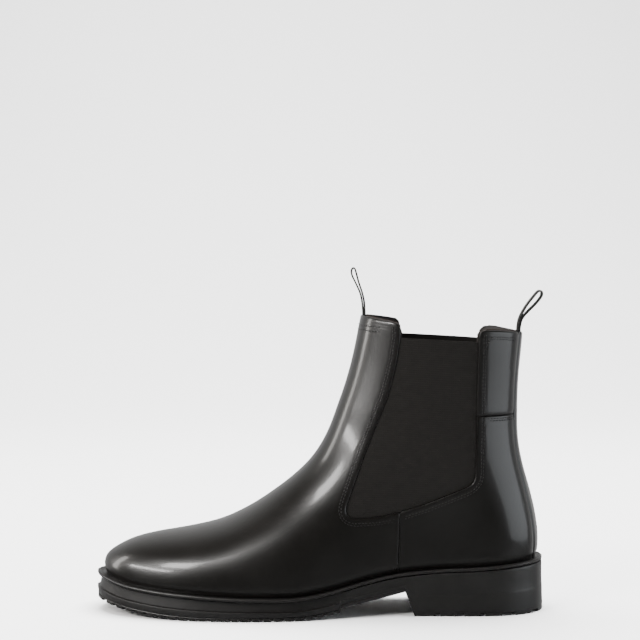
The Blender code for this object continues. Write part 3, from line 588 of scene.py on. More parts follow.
def sheet_faces(region, first, last, bands, stride, cut):
    """Triangles and slivers of a region, cut along lines at set distances from its edge."""
    points = SURFACE[::stride, ::stride]
    s, z, y = points[..., 0], points[..., 1], points[..., 2]
    fields = np.stack(region(s, z, y), axis=-1)
    near = np.abs(fields) < LEAST_CUT / 2
    fields = np.where(near, np.copysign(LEAST_CUT / 2, fields), fields)
    reach = fields.min(axis=-1, keepdims=True)
    if cut is not None:
        fields = np.concatenate([fields, cut(s)[..., None]], axis=-1)
    data = np.concatenate([points, reach, fields], axis=-1)
    count = fields.shape[-1]
    faces = []
    for row in range(data.shape[0] - 1):
        for column in range(first // stride, last // stride):
            quad = [data[row, column], data[row + 1, column],
                    data[row + 1, column + 1], data[row, column + 1]]
            if min(min(corner[6:]) for corner in quad) > bands[-1]:
                faces.append(quad)
                continue
            if any(max(corner[7 + k] for corner in quad) <= 0.0 for k in range(count)):
                continue
            across = np.linalg.norm(quad[0][:3] - quad[2][:3])
            down = np.linalg.norm(quad[1][:3] - quad[3][:3])
            halves = ((0, 1, 2), (0, 2, 3)) if across < down else ((0, 1, 3), (1, 2, 3))
            for half in halves:
                piece = [quad[i] for i in half]
                for k in range(count):
                    piece = split_at(piece, 7 + k, 0.0)[0]
                for level in bands:
                    piece, edge = split_at(piece, 6, level)
                    if len(edge) > 2:
                        faces.append(edge)
                if len(piece) > 2:
                    faces.append(piece)
    return faces


def joined_faces(polygons):
    """The polygons' shared corners as rows, and the polygons as loops of row numbers."""
    index, rows, faces = {}, [], []
    for polygon in polygons:
        loop = []
        for corner in polygon:
            key = tuple(round(float(value), 4) for value in corner[:3])
            if key not in index:
                index[key] = len(rows)
                rows.append(corner)
            if index[key] not in loop:
                loop.append(index[key])
        if len(loop) > 2:
            faces.append(loop)
    return np.array(rows), faces


def closed_faces(faces, count):
    """The faces of an outer skin, with its inner skin's and those of the rim between."""
    sides = {(a, b) for loop in faces for a, b in zip(loop, loop[1:] + loop[:1])}
    rim = sorted((b, a, a + count, b + count) for a, b in sides if (b, a) not in sides)
    inner_faces = [[i + count for i in reversed(loop)] for loop in faces]
    return faces + inner_faces + rim


def upper_sheet(name, region, depth, depth_of, thickness, side=0, stride=1, bands=BANDS,
                cut=None):
    """A closed sheet of the upper between a shaped outer skin and a plain inner one."""
    first = COLUMNS if side > 0 else 0
    last = COLUMNS if side < 0 else 2 * COLUMNS
    rows, faces = joined_faces(sheet_faces(region, first, last, bands, stride, cut))
    s, z, y, reach = rows[:, 0], rows[:, 1], rows[:, 2], np.maximum(rows[:, 6], 0.0)
    fall = depth + depth_of(s, z, y, reach)
    if depth == 0.0:
        fall = fall + soft_waves(s, z)
    outer = to_frame(rows[:, :3] - rows[:, 3:6] * fall[:, None])
    outer[:, 2] -= tuck(s, z) / TUCK * CURL * MM
    inside_fall = np.maximum(depth + thickness, fall + LEAST_LEATHER)
    inner = to_frame(rows[:, :3] - rows[:, 3:6] * inside_fall[:, None])
    inner[:, 2] -= tuck(s, z) / TUCK * CURL * MM
    return new_mesh(name, np.vstack([outer, inner]), closed_faces(faces, len(rows)), 0.9)


def new_mesh(name, vertices, faces, sharp_angle):
    """A shaded mesh object in the scene."""
    mesh = bpy.data.meshes.new(name)
    mesh.from_pydata([tuple(v) for v in vertices], [], [tuple(f) for f in faces])
    mesh.update()
    shape = bmesh.new()
    shape.from_mesh(mesh)
    bmesh.ops.recalc_face_normals(shape, faces=shape.faces)
    shape.to_mesh(mesh)
    shape.free()
    mesh.shade_smooth()
    mesh.set_sharp_from_angle(angle=sharp_angle)
    thing = bpy.data.objects.new(name, mesh)
    bpy.context.scene.collection.objects.link(thing)
    return thing


def dress(thing, material, body, slot, *nodes):
    """Give a piece its material and, where one body is named, its body; hide the CAD nodes it
    stands for. The slot is not used.
    """
    thing.data.materials.clear()
    thing.data.materials.append(material)
    if isinstance(body, str):
        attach(thing, body)
    else:
        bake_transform(thing)
    if nodes:
        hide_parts(*nodes)
    return thing


def place(s, z, y=0.0):
    """A side-view place as a point of the frame, in metres."""
    return tuple(float(v) for v in to_frame((s, z, y)))


# Two bodies, and the places where a piece spanning them would start to follow the second and
# follow it fully; dress only bakes such pieces in place.
BALL_BEND = ("rearfoot", "forefoot", place(181.0, 9.0), place(238.0, 9.0))
COLLAR_BEND = ("rearfoot", "shaft_front", place(132.0, 80.0), place(132.0, 188.0))
GORE_BEND = ("rearfoot", "shaft_front", place(133.0, 75.0), place(165.6, 101.7))


def ahead_of_split(s):
    return s - VAMP_SPLIT


def behind_split(s):
    return VAMP_SPLIT - s


# ---- materials -------------------------------------------------------------

def node_setter(tree):
    def add(kind, inputs=(), **settings):
        node = tree.nodes.new(kind)
        for name, value in settings.items():
            setattr(node, name, value)
        for name, value in dict(inputs).items():
            if isinstance(value, bpy.types.NodeSocket):
                tree.links.new(value, node.inputs[name])
            else:
                node.inputs[name].default_value = value
        return node
    return add


def principled(name, colour, roughness, **more):
    """A material with a Principled shader."""
    made = bpy.data.materials.new(name)
    made.use_nodes = True
    shader = made.node_tree.nodes["Principled BSDF"]
    shader.inputs["Base Color"].default_value = (*colour, 1.0)
    shader.inputs["Roughness"].default_value = roughness
    for socket, value in more.items():
        shader.inputs[socket.replace("_", " ")].default_value = value
    made.diffuse_color = (*colour, 1.0)
    return made, shader


def noise(scale, detail, **more):
    return "ShaderNodeTexNoise", {"Scale": scale, "Detail": detail, **more}, {}, "Fac"


def pores(scale):
    return "ShaderNodeTexVoronoi", {"Scale": scale}, {}, "Distance"


def wave(scale, direction, **more):
    return "ShaderNodeTexWave", {"Scale": scale, **more}, {"bands_direction": direction}, "Fac"


def textured(name, colour, roughness, main, tints=None, spread=None, bumps=(),
             where="Object", **more):
    """A material whose main texture moves its base colour between two tints and its
    roughness over a spread. Bumps are (texture, strength, distance), where None stands for
    the main texture."""
    made, shader = principled(name, colour, roughness, **more)
    tree = made.node_tree
    add = node_setter(tree)
    place_output = add("ShaderNodeTexCoord").outputs[where]

    def texture_output(texture):
        kind, inputs, settings, output = texture
        return add(kind, {"Vector": place_output, **inputs}, **settings).outputs[output]

    factor = texture_output(main)
    if tints:
        mix = add("ShaderNodeMix", {"Factor": factor}, data_type="RGBA")
        mix.inputs[6].default_value = (*tints[0], 1.0)
        mix.inputs[7].default_value = (*tints[1], 1.0)
        tree.links.new(mix.outputs[2], shader.inputs["Base Color"])
    if spread:
        rough = add("ShaderNodeMapRange", {"Value": factor, "To Min": spread[0],
                                           "To Max": spread[1]})
        tree.links.new(rough.outputs["Result"], shader.inputs["Roughness"])
    normal = None
    for texture, strength, distance in bumps:
        height = texture_output(texture) if texture else factor
        inputs = {"Height": height, "Strength": strength, "Distance": distance}
        if normal is not None:
            inputs["Normal"] = normal
        normal = add("ShaderNodeBump", inputs).outputs["Normal"]
    tree.links.new(normal, shader.inputs["Normal"])
    return made


def board(name, dark, light, roughness, scale):
    """Fibrous or granular board for the hidden pieces."""
    return textured(name, light, roughness, noise(scale * 0.6, 6.0), (dark, light),
                    bumps=((pores(scale), 0.3, 0.0003), (None, 0.3, 0.0002)))


def steel(name, colour, roughness):
    return textured(name, colour, roughness, noise(420.0, 5.0),
                    spread=(roughness - 0.1, roughness + 0.2),
                    bumps=((None, 0.1, 0.0001),), Metallic=1.0)


LEATHER_LOOK = textured(
    "black_leather", (0.0022, 0.0021, 0.0020), 0.3, noise(38.0, 5.0, Roughness=0.6),
    ((0.0024, 0.0021, 0.0018), (0.0044, 0.0038, 0.0032)), (0.26, 0.42),
    ((None, 0.08, 0.0008), (noise(520.0, 3.0), 0.35, 0.00014)),
    Coat_Weight=0.3, Coat_Roughness=0.12, Specular_IOR_Level=0.4)
LINING_LOOK = textured(
    "brown_lining", (0.018, 0.011, 0.008), 0.62, noise(60.0, 6.0),
    ((0.0050, 0.0026, 0.0016), (0.0110, 0.0062, 0.0042)), (0.5, 0.75),
    ((None, 0.15, 0.0006), (pores(900.0), 0.25, 0.0001)))
ELASTIC_LOOK = textured(
    "gore_elastic", (0.0062, 0.0056, 0.0050), 0.82, noise(320.0, 5.0),
    ((0.0042, 0.0038, 0.0033), (0.0085, 0.0076, 0.0068)), (0.72, 0.92),
    ((wave(260.0, "X", Distortion=0.6, Detail=1.0), 0.25, 0.00012), (None, 0.3, 0.00015)),
    Specular_IOR_Level=0.15)
RUBBER_LOOK = textured(
    "black_rubber", (0.006, 0.0055, 0.0052), 0.4, noise(45.0, 6.0),
    ((0.0040, 0.0037, 0.0034), (0.0085, 0.0080, 0.0076)), (0.34, 0.50),
    ((noise(900.0, 3.0), 0.2, 0.0001),))
# Twill webbing: slanted ribs along the strap's own length, from its UV map.
WEBBING_LOOK = textured(
    "grey_webbing", (0.012, 0.0115, 0.011), 0.78, wave(2.6, "DIAGONAL", Distortion=0.3),
    ((0.007, 0.0068, 0.0066), (0.022, 0.0215, 0.021)), None,
    ((None, 0.5, 0.0003), (noise(9.0, 6.0), 0.3, 0.0001)), "UV", Specular_IOR_Level=0.2)
THREAD_LOOK = textured(
    "black_thread", (0.008, 0.0078, 0.0074), 0.36, noise(2200.0, 2.0),
    ((0.005, 0.0048, 0.0045), (0.014, 0.0135, 0.013)), None, ((None, 0.4, 0.0001),))
STIFFENER_LOOK = board("fibreboard", (0.36, 0.30, 0.21), (0.52, 0.45, 0.34), 0.85, 500.0)
INSOLE_LOOK = board("insole_board", (0.26, 0.19, 0.12), (0.42, 0.32, 0.21), 0.85, 700.0)
CORK_LOOK = board("pressed_cork", (0.20, 0.11, 0.05), (0.46, 0.30, 0.16), 0.9, 420.0)
CORE_LOOK = board("core_foam", (0.07, 0.07, 0.07), (0.14, 0.14, 0.14), 0.9, 900.0)
SHANK_LOOK = steel("spring_steel", (0.42, 0.43, 0.45), 0.35)
NAIL_LOOK = steel("plated_steel", (0.62, 0.57, 0.44), 0.4)


# ---- the upper -------------------------------------------------------------

def make_leather():
    pieces = (
        ("vamp_forepart", vamp_region, vamp_depth, 0, ahead_of_split, BALL_BEND, ("vamp",)),
        ("vamp_shaft", vamp_region, vamp_depth, 0, behind_split, COLLAR_BEND, ("vamp",)),
        ("lateral_quarter", quarter_region, quarter_depth, -1, None, "rearfoot",
         ("quarter_lateral",)),
        ("medial_quarter", quarter_region, quarter_depth, 1, None, "rearfoot",
         ("quarter_medial",)),
        ("lateral_rear_panel", rear_panel_region, rear_panel_depth, -1, None, "rearfoot",
         ("rear_panel_lateral",)),
        ("medial_rear_panel", rear_panel_region, rear_panel_depth, 1, None, "rearfoot",
         ("rear_panel_medial",)),
        ("heel_strip", strip_region, strip_depth, 0, None, "rearfoot", ("back_strip",)),
    )
    for name, region, depth_of, side, cut, body, nodes in pieces:
        thickness = STRIP_LEATHER if name == "heel_strip" else LEATHER
        sheet = upper_sheet(name, region, 0.0, depth_of, thickness, side, cut=cut)
        dress(sheet, LEATHER_LOOK, body, "leather", *nodes)


def make_linings():
    pieces = (
        ("forepart_lining", vamp_lining_region, 0, ahead_of_split, BALL_BEND, ("vamp_lining",)),
        ("shaft_lining", vamp_lining_region, 0, behind_split, COLLAR_BEND, ("vamp_lining",)),
        ("rear_lining", quarter_lining_region, 0, None, "rearfoot",
         ("quarter_lining_lateral", "quarter_lining_medial")),
    )
    for name, region, side, cut, body, nodes in pieces:
        sheet = upper_sheet(name, region, LINING_DEPTH, plain_depth, LINING, side, stride=2,
                            bands=LINING_BANDS, cut=cut)
        dress(sheet, LINING_LOOK, body, "lining", *nodes)


def make_gore(name, side, node):
    """A ribbed elastic sheet behind the window, on its own fine side-view grid."""
    s_values = np.linspace(38.0, 144.0, 72)
    z_values = np.arange(57.0, 187.0, RIB_PITCH / 4.0)
    s, z = np.meshgrid(s_values, z_values)
    slope = (GORE_TOP[0][1] - GORE_TOP[1][1]) / (GORE_TOP[0][0] - GORE_TOP[1][0])
    top = GORE_TOP[1][1] + slope * (s - GORE_TOP[1][0])
    reach = np.minimum(inside(WINDOW, s, z, np.full_like(s, side)) + GORE_FLANGE, top - z)
    front = np.interp(z, PROFILE_Z, PROFILE_S)
    reach = np.minimum(reach, np.minimum(s - back_s(z) - 3.0, front - s - 3.0))
    normal = side_normal(s, z, side, NORMAL_STEP)
    ribs = RIB_HEIGHT * np.abs(np.sin(np.pi * (z - slope * s) / RIB_PITCH)) ** 1.5
    hem = 0.25 * np.exp(-((top - z) / 1.2) ** 2)
    point = np.stack([s, z, side * half_width(s, z, side)], axis=-1)
    outer = point - normal * (MIDDLE_DEPTH + RIB_HEIGHT - ribs - hem)[..., None]
    inner = point - normal * (MIDDLE_DEPTH + MIDDLE + RIB_HEIGHT)
    data = np.concatenate([outer, inner, reach[..., None]], axis=-1)
    polygons = []
    for row in range(len(z_values) - 1):
        for column in range(len(s_values) - 1):
            quad = [data[row, column], data[row, column + 1],
                    data[row + 1, column + 1], data[row + 1, column]]
            if max(corner[6] for corner in quad) > 0.0:
                polygons.append(split_at(quad, 6, 0.0)[0])
    rows, faces = joined_faces(polygons)
    vertices = np.vstack([to_frame(rows[:, :3]), to_frame(rows[:, 3:6])])
    gore = new_mesh(name, vertices, closed_faces(faces, len(rows)), 1.2)
    dress(gore, ELASTIC_LOOK, GORE_BEND, "elastic", node)


# ---- stitches --------------------------------------------------------------

def stitch_template(rings=6, sides=8):
    """A rounded stitch along its first axis, of unit length and unit radius."""
    vertices, faces = [(-0.5, 0.0, 0.0)], []
    for ring in range(1, rings):
        angle = np.pi * ring / rings
        along = -0.5 * np.cos(angle)
        radius = np.sin(angle) ** 0.6
        for side in range(sides):
            turn = 2.0 * np.pi * side / sides
            vertices.append((along, radius * np.cos(turn), radius * np.sin(turn)))
    vertices.append((0.5, 0.0, 0.0))
    last = len(vertices) - 1
    for side in range(sides):
        following = (side + 1) % sides
        faces.append((0, 1 + following, 1 + side))
        for ring in range(rings - 2):
            a, b = 1 + ring * sides, 1 + (ring + 1) * sides
            faces.append((a + side, a + following, b + following, b + side))
        faces.append((last, last - sides + side, last - sides + following))
    return np.array(vertices), faces


STITCH_VERTICES, STITCH_FACES = stitch_template()


def surface_frame(s, z, side):
    """Places on the upper and outward normals there, for lines drawn on the lateral side."""
    if side > 0:
        s = s - setback(s - setback(s))
    point = np.stack([s, z, side * half_width(s, z, side)], axis=-1)
    return point, side_normal(s, z, side, NORMAL_STEP)


def path_travel(path):
    """Distance along a path at each of its points."""
    steps = np.linalg.norm(np.diff(path, axis=0), axis=1)
    return np.concatenate([[0.0], np.cumsum(steps)])


def along_path(path, travel, at):
    """The path's points at the distances at, where travel is the path's own."""
    return np.column_stack([np.interp(at, travel, axis) for axis in path.T])


def even_places(path, pitch):
    """Points along a path at an even pitch."""
    travel = path_travel(path)
    return along_path(path, travel, np.arange(pitch / 2, travel[-1], pitch))


def stitch_seam(name, paths, body):
    """One piece with a row of stitches along each path of (place, normal) arrays."""
    vertices, faces = [], []
    for place_path, normal_path in paths:
        both = np.concatenate([place_path, normal_path], axis=-1)
        travel = path_travel(place_path)
        at = np.arange(STITCH_PITCH / 2, travel[-1], STITCH_PITCH)
        centres = along_path(both, travel, at)
        ahead = along_path(place_path, travel, at + 0.4)
        behind = along_path(place_path, travel, at - 0.4)
        for centre, tangent in zip(centres, ahead - behind):
            size = np.linalg.norm(tangent)
            if size < 1e-6:
                continue
            tangent = tangent / size
            normal = centre[3:] / np.linalg.norm(centre[3:])
            across = np.cross(normal, tangent)
            axes = np.array([tangent * STITCH_LENGTH, across * THREAD_RADIUS,
                             normal * THREAD_RADIUS])
            start = len(vertices)
            shape = STITCH_VERTICES @ axes + centre[:3] - normal * STITCH_SINK
            vertices.extend(to_frame(shape))
            faces.extend([tuple(i + start for i in face) for face in STITCH_FACES])
    seam = new_mesh(name, np.array(vertices), faces, 3.0)
    return dress(seam, THREAD_LOOK, body, "leather")


def offset_outline(outline, distance):
    """A closed outline moved outward by a distance."""
    before = np.roll(outline, 1, axis=0)
    after = np.roll(outline, -1, axis=0)
    direction = after - before
    direction /= np.maximum(np.linalg.norm(direction, axis=1, keepdims=True), 1e-9)
    normal = np.column_stack([direction[:, 1], -direction[:, 0]])
    tried = outline[:1] + normal[:1]
    if inside_distance(outline, tried[:, 0], tried[:, 1]) > 0:
        normal = -normal
    return outline + normal * distance


def dense_outline(outline, step=0.8):
    """Points every step along a closed outline."""
    closed = np.vstack([outline, outline[:1]])
    return even_places(closed, step)


def window_row(distance, keep, side):
    """The stitch row at a distance round the gore's window, where keep(s, z) holds."""
    line = offset_outline(dense_outline(WINDOW), distance)
    kept = keep(line[:, 0], line[:, 1])
    breaks = np.flatnonzero(np.diff(kept.astype(int))) + 1
    runs = [run for run, flags in zip(np.split(line, breaks), np.split(kept, breaks)) if flags[0]]
    return [surface_frame(run[:, 0], run[:, 1], side) for run in runs if len(run) > 4]


def in_vamp(s, z):
    return (inside(VAMP_AREA, s, z, -1.0) > 2.3) & (s > SEAM_TOP[0])


def in_quarter(s, z):
    low = z < REAR_SEAM_Z - 1.0
    return (inside(REAR_AREA, s, z, -1.0) > 2.3) & low & (s < SEAM_TOP[0] - 1.0)


def in_rear_panel(s, z):
    high = z > REAR_SEAM_Z + 1.0
    return (inside(REAR_AREA, s, z, -1.0) > 2.3) & high & (s > back_s(z) + 3.5)


def straight_row(start, end, side, count=40):
    share = np.linspace(0.0, 1.0, count)
    s = start[0] + (end[0] - start[0]) * share
    z = start[1] + (end[1] - start[1]) * share
    return surface_frame(s, z, side)


def edge_row(outline_points, distance, side):
    """A row under the rear panel's top edge, from the gore's corner to the strip."""
    path = dense_path(outline_points, 10)
    return surface_frame(path[:, 0], path[:, 1] - distance, side)


def round_front_row(z_level, half_arc, drop=0.0):
    """A row round the front of the shaft at a height, an arc length each way."""
    rows = GRID[:, COLUMNS]
    front = float(np.interp(z_level, rows[60:, 1], rows[60:, 0]))
    s = front - (np.linspace(1.0, 0.0, 80) ** 2) * 17.0
    paths = []
    for side in (-1, 1):
        z = z_level - drop * (front - s)
        width = half_width(s, z, side)
        step = np.hypot(np.gradient(s), np.gradient(width))
        arc = np.cumsum(step[::-1])[::-1]
        keep = arc < half_arc
        place_path, normal = surface_frame(s[keep], z[keep], side)
        paths.append((place_path, normal))
    return paths


def make_stitches():
    for label, side in (("lateral", -1), ("medial", 1)):
        front_rows, quarter_rows, panel_rows = [], [], []
        for distance in STITCH_ROWS:
            front_rows += window_row(distance, in_vamp, side)
            quarter_rows += window_row(distance, in_quarter, side)
            panel_rows += window_row(distance, in_rear_panel, side)
        stitch_seam(f"{label}_gore_front_stitches", front_rows, COLLAR_BEND)
        for distance in SEAM_ROWS:
            low = (SEAM_TOP[0] + distance, SEAM_TOP[1] - 4.0)
            high = (SEAM_BOTTOM[0] - 0.9 + distance, 31.5)
            quarter_rows.append(straight_row(low, high, side))
        for distance in PANEL_ROWS:
            start = (39.6 - distance + 2.0, REAR_SEAM_Z - distance)
            quarter_rows.append(straight_row(start, (21.5, REAR_SEAM_Z - distance), side))
        top = ((41.0, 184.4), (38.9, 187.6), (36.0, 189.0), (31.6, 188.8), (20.5, 187.6))
        for distance in TOP_ROWS:
            panel_rows.append(edge_row(top, distance, side))
        stitch_seam(f"{label}_quarter_stitches", quarter_rows, "rearfoot")
        stitch_seam(f"{label}_panel_stitches", panel_rows, "rearfoot")
    tab_rows = round_front_row(191.6, 24.0, 0.06) + round_front_row(188.6, 24.0, 0.06)
    stitch_seam("front_tab_stitches", tab_rows, COLLAR_BEND)


make_leather()
make_linings()
make_gore("lateral_gore", -1, "gore_lateral")
make_gore("medial_gore", 1, "gore_medial")
make_stitches()


# ---- the sole --------------------------------------------------------------

LUG_PLACES = np.arange(LUG_ZONE[0] + LUG_PITCH / 2, TOE_S - 3.0, LUG_PITCH)
LUG_NOTCHES = [(at, LUG_GAP) for at in LUG_PLACES]
NOTCHES = np.array(list(HEEL_NOTCHES) + LUG_NOTCHES)


def fine_stations(first, last, middle_count, end_count):
    """Stations along the sole, crowded towards both of its round ends."""
    turn = np.linspace(0.0, 0.5 * np.pi, end_count)
    heel = first + 34.0 * (1.0 - np.cos(turn))
    toe = last - 46.0 * (1.0 - np.cos(turn[::-1]))
    return np.unique(np.concatenate([heel, np.linspace(heel[-1], toe[0], middle_count), toe]))


def notch(s):
    """1 inside a notch between two lugs, 0 in a lug."""
    inward = NOTCHES[:, 1] / 2 + LUG_RAMP - np.abs(s[:, None] - NOTCHES[None, :, 0])
    return np.clip(inward / LUG_RAMP, 0.0, 1.0).max(axis=1)


def sole_piece(name, stations, levels, material, body, slot, *nodes, hollow=False, sharp=0.7):
    """A sole layer: a closed solid between plan outlines stacked from the bottom up."""
    count = len(stations)
    vertices, rings = [], []
    for height, reach in levels:
        lateral, medial = plan_ring(stations, reach(stations))
        ring = []
        for half, order in ((lateral, range(count)), (medial, range(count - 1, -1, -1))):
            z = height(half[:, 0], stations)
            for i in order:
                ring.append(len(vertices))
                vertices.append(to_frame((half[i, 0], z[i], half[i, 1])))
        rings.append(ring)
    pairs = list(zip(rings, rings[1:]))
    if hollow:
        pairs.append((rings[-1], rings[0]))
    faces = [(low[i], low[(i + 1) % len(low)], high[(i + 1) % len(low)], high[i])
             for low, high in pairs for i in range(len(low))]
    if not hollow:
        far = 2 * count - 1
        for ring in (rings[0], rings[-1]):
            faces += [(ring[i], ring[i + 1], ring[far - i - 1], ring[far - i])
                      for i in range(count - 1)]
    thing = new_mesh(name, vertices, faces, sharp)
    shape = bmesh.new()
    shape.from_mesh(thing.data)
    bmesh.ops.remove_doubles(shape, verts=shape.verts, dist=0.00001)
    bmesh.ops.dissolve_degenerate(shape, edges=shape.edges, dist=0.00001)
    bmesh.ops.recalc_face_normals(shape, faces=shape.faces)
    shape.to_mesh(thing.data)
    shape.free()
    thing.data.set_sharp_from_angle(angle=sharp)
    return dress(thing, material, body, slot, *nodes)


def set_level(drop, inset, full=0.0):
    """A level a drop under the feather line, set in from the sole's edge.

    With full at 1 the inset is measured outward from the feather line instead.
    """
    def reach(s):
        return (1.0 - full) * sole_reach(s) - inset
    return (lambda s, station: feather_z(s) - drop, reach)


def wall_level(drop, lift, inset, groove=0.0, notched=0.0):
    """A level of the outsole's wall, by its share of the height and a lift above that."""
    def height(s, station):
        base = feather_z(s) - WELT - GAP
        return base - (base - sole_bottom(station)) * drop + lift

    def reach(s):
        flare = HEEL_FLARE * drop ** 2 * (1.0 - smoothstep((s - 55.0) / 35.0))
        inward = groove * side_groove(s) + notched * NOTCH_DEPTH * notch(s)
        return sole_reach(s) - inset - inward + flare

    return (height, reach)


def outsole_stations():
    heel = fine_stations(HEEL_S, BREAST_BOTTOM + 60.0, 24, 26)
    heel = np.append(heel[heel < BREAST_BOTTOM - 0.5], [BREAST_BOTTOM - 0.4, BREAST_BOTTOM])
    arch = np.linspace(BREAST_TOP, LUG_ZONE[0] - 0.4, 16)
    sides = [NOTCHES[:, 0] + sign * (NOTCHES[:, 1] / 2 + ramp)
             for sign in (-1, 1) for ramp in (0.0, LUG_RAMP)]
    between = NOTCHES[:-1, 0] + np.diff(NOTCHES[:, 0]) / 2
    toe = TOE_S - 30.0 * (1.0 - np.sin(np.linspace(0.0, 0.5 * np.pi, 22)))
    toe = toe[toe > NOTCHES[-1, 0] + 2.0]
    stations = np.concatenate([heel, arch, [LUG_ZONE[0] + 0.4], between, toe] + sides)
    stations = stations[(stations >= HEEL_S) & (stations <= TOE_S)]
    in_waist = (stations > BREAST_BOTTOM) & (stations < BREAST_TOP)
    return np.unique(np.round(stations[~in_waist], 3))


# The welt's section from its lower inside edge outward, over the top and back: (drop, inset).
WELT_LEVELS = ((WELT, 1.6), (WELT - 0.1, 0.9), (WELT - 0.5, 0.35), (1.5, 0.08), (1.0, 0.0),
               (0.5, 0.14), (0.15, 0.5), (0.0, 1.1), (0.1, 1.7), (0.6, 2.4), (0.9, 3.4),
               (0.6, 5.5), (0.0, 7.0), (0.0, WELT_WIDTH), (WELT, WELT_WIDTH))
# The outsole's wall from the ground up: (drop, lift, inset, groove, notched).
WALL_LEVELS = ((1.0, 0.0, 0.9, 0.0, 1.0), (1.0, 0.15, 0.4, 0.0, 1.0),
               (1.0, 0.5, 0.2, 0.0, 1.0), (1.0, 1.9, 0.2, 0.0, 1.0),
               (1.0, 2.05, 0.2), (1.0, 2.4, 0.2, 0.1), (1.0, 2.5, 0.3, 0.4),
               (1.0, 2.8, 0.3, 0.4), (1.0, 2.95, 0.1, 0.2), (1.0, 3.2, 0.1, 0.15),
               (0.54, 0.0, 0.0, -0.1), (0.51, 0.0, 0.0), (0.49, 0.0, 0.1, 0.7),
               (0.46, 0.0, 0.2, 1.0), (0.25, 0.0, 0.2, 1.35), (0.06, 0.0, 0.2, 1.6),
               (0.01, 0.0, 0.25, 1.6), (0.0, 0.0, 0.5, 1.6))


def make_sole():
    full = fine_stations(HEEL_S, TOE_S, 90, 26)
    welt = [set_level(*level) for level in WELT_LEVELS]
    sole_piece("ribbed_welt", full, welt, RUBBER_LOOK, BALL_BEND, "rubber", "welt", hollow=True)
    wall = [wall_level(*level) for level in WALL_LEVELS]
    sole_piece("lugged_outsole", outsole_stations(), wall, RUBBER_LOOK, BALL_BEND, "rubber",
               "outsole")
    inner = -WALL - 3 * GAP
    liner_low = GAP + INSOLE + GAP + NAIL_HEAD + GAP
    liner = [set_level(-liner_low, -inner, 1.0), set_level(-liner_low - 0.8, -inner, 1.0),
             set_level(-liner_low - SOCK_LINER, -inner + 0.5, 1.0)]
    sole_piece("sock_lining_sheet", full, liner, LINING_LOOK, BALL_BEND, "lining", "sock_liner")
    insole = [set_level(-GAP, -inner, 1.0), set_level(-GAP - INSOLE, -inner, 1.0)]
    sole_piece("insole_sheet", full, insole, INSOLE_LOOK, BALL_BEND, "insole_board", "insole")
    front = fine_stations(FILLER[0], FILLER[1], 30, 14)
    inset = WELT_WIDTH + GAP + 1.0
    cork = [set_level(WELT, inset), set_level(0.0, inset)]
    sole_piece("cork_sheet", front, cork, CORK_LOOK, BALL_BEND, "cork", "cork_filler")


# ---- pull tabs -------------------------------------------------------------

def strap_section():
    """Half widths and half thicknesses round a webbing strap's section."""
    half, thick = WEBBING_HALF_WIDTH, WEBBING / 2
    across = np.linspace(-half + 0.5, half - 0.5, 9)
    top = [(y, thick) for y in across]
    right = [(half - 0.12, thick * 0.6), (half, 0.0), (half - 0.12, -thick * 0.6)]
    bottom = [(y, -thick) for y in across[::-1]]
    left = [(-y, -z) for y, z in right]
    return np.array(top + right + bottom + left)


def make_tab(name, path, sewn_end, body, nodes):
    """A woven strap that loops out of the collar, its two ends sewn under the leather."""
    second_end = tuple((s - 1.2, z) for s, z in reversed(sewn_end))
    middle = even_places(dense_path(sewn_end + path[1:-1] + second_end, 8), 0.8)
    tangent = np.gradient(middle, axis=0)
    tangent /= np.linalg.norm(tangent, axis=1, keepdims=True)
    section = strap_section()
    vertices, uvs, faces = [], [], []
    size = len(section)
    for (s, z), (ts, tz), at in zip(middle, tangent, path_travel(middle)):
        for y, lift in section:
            vertices.append(to_frame((s - tz * lift, z + ts * lift, y)))
            uvs.append((y * MM * 100.0, at * MM * 100.0))
    for i in range(len(middle) - 1):
        for j in range(size):
            k = (j + 1) % size
            faces.append((i * size + j, i * size + k, (i + 1) * size + k, (i + 1) * size + j))
    faces.append(tuple(range(size)))
    faces.append(tuple(range(len(vertices) - size, len(vertices))))
    tab = new_mesh(name, vertices, faces, 1.0)
    layer = tab.data.uv_layers.new(name="weave")
    for loop in tab.data.loops:
        layer.data[loop.index].uv = uvs[loop.vertex_index]
    dress(tab, WEBBING_LOOK, body, "webbing", *nodes)


def tab_bend(body, tab_body, pivot):
    """The bodies of a strap and the places just under its fold and just over it, where it would
    start to follow its own body and follow it fully.
    """
    s, z = pivot
    return (body, tab_body, place(s, z - 1.0), place(s, z + 4.2))


def make_tabs():
    front_bend = tab_bend("shaft_front", "front_tab", FRONT_TAB_PIVOT)
    rear_bend = tab_bend("rearfoot", "rear_tab", REAR_TAB_PIVOT)
    make_tab("front_strap", FRONT_TAB_PATH, ((122.2, 188.0), (122.0, 197.0)), front_bend,
             ("front_pull_tab", "front_tab_anchor"))
    make_tab("rear_strap", REAR_TAB_PATH, ((19.4, 177.0), (18.2, 186.0)), rear_bend,
             ("rear_pull_tab", "rear_tab_anchor"))


# ---- hidden pieces kept from the CAD ---------------------------------------

def dress_kept():
    looks = {"toe_puff": STIFFENER_LOOK, "heel_counter": STIFFENER_LOOK, "shank": SHANK_LOOK,
             "heel_core": CORE_LOOK}
    for number in range(1, 6):
        looks[f"heel_nail_{number}"] = NAIL_LOOK
    for name, material in looks.items():
        node = bpy.data.objects[name]
        node.data.materials.clear()
        node.data.materials.append(material)


# ---- stage, light and camera -----------------------------------------------

def area_light(name, location, target, size, power, colour=(1.0, 1.0, 1.0),
               seen_in_gloss=True):
    light = bpy.data.lights.new(name, "AREA")
    light.shape = "RECTANGLE"
    light.size, light.size_y = size
    light.energy = power
    light.color = colour
    thing = bpy.data.objects.new(name, light)
    thing.location = location
    aim = Vector(target) - Vector(location)
    thing.rotation_euler = aim.to_track_quat("-Z", "Y").to_euler()
    thing.visible_glossy = seen_in_gloss
    bpy.context.scene.collection.objects.link(thing)


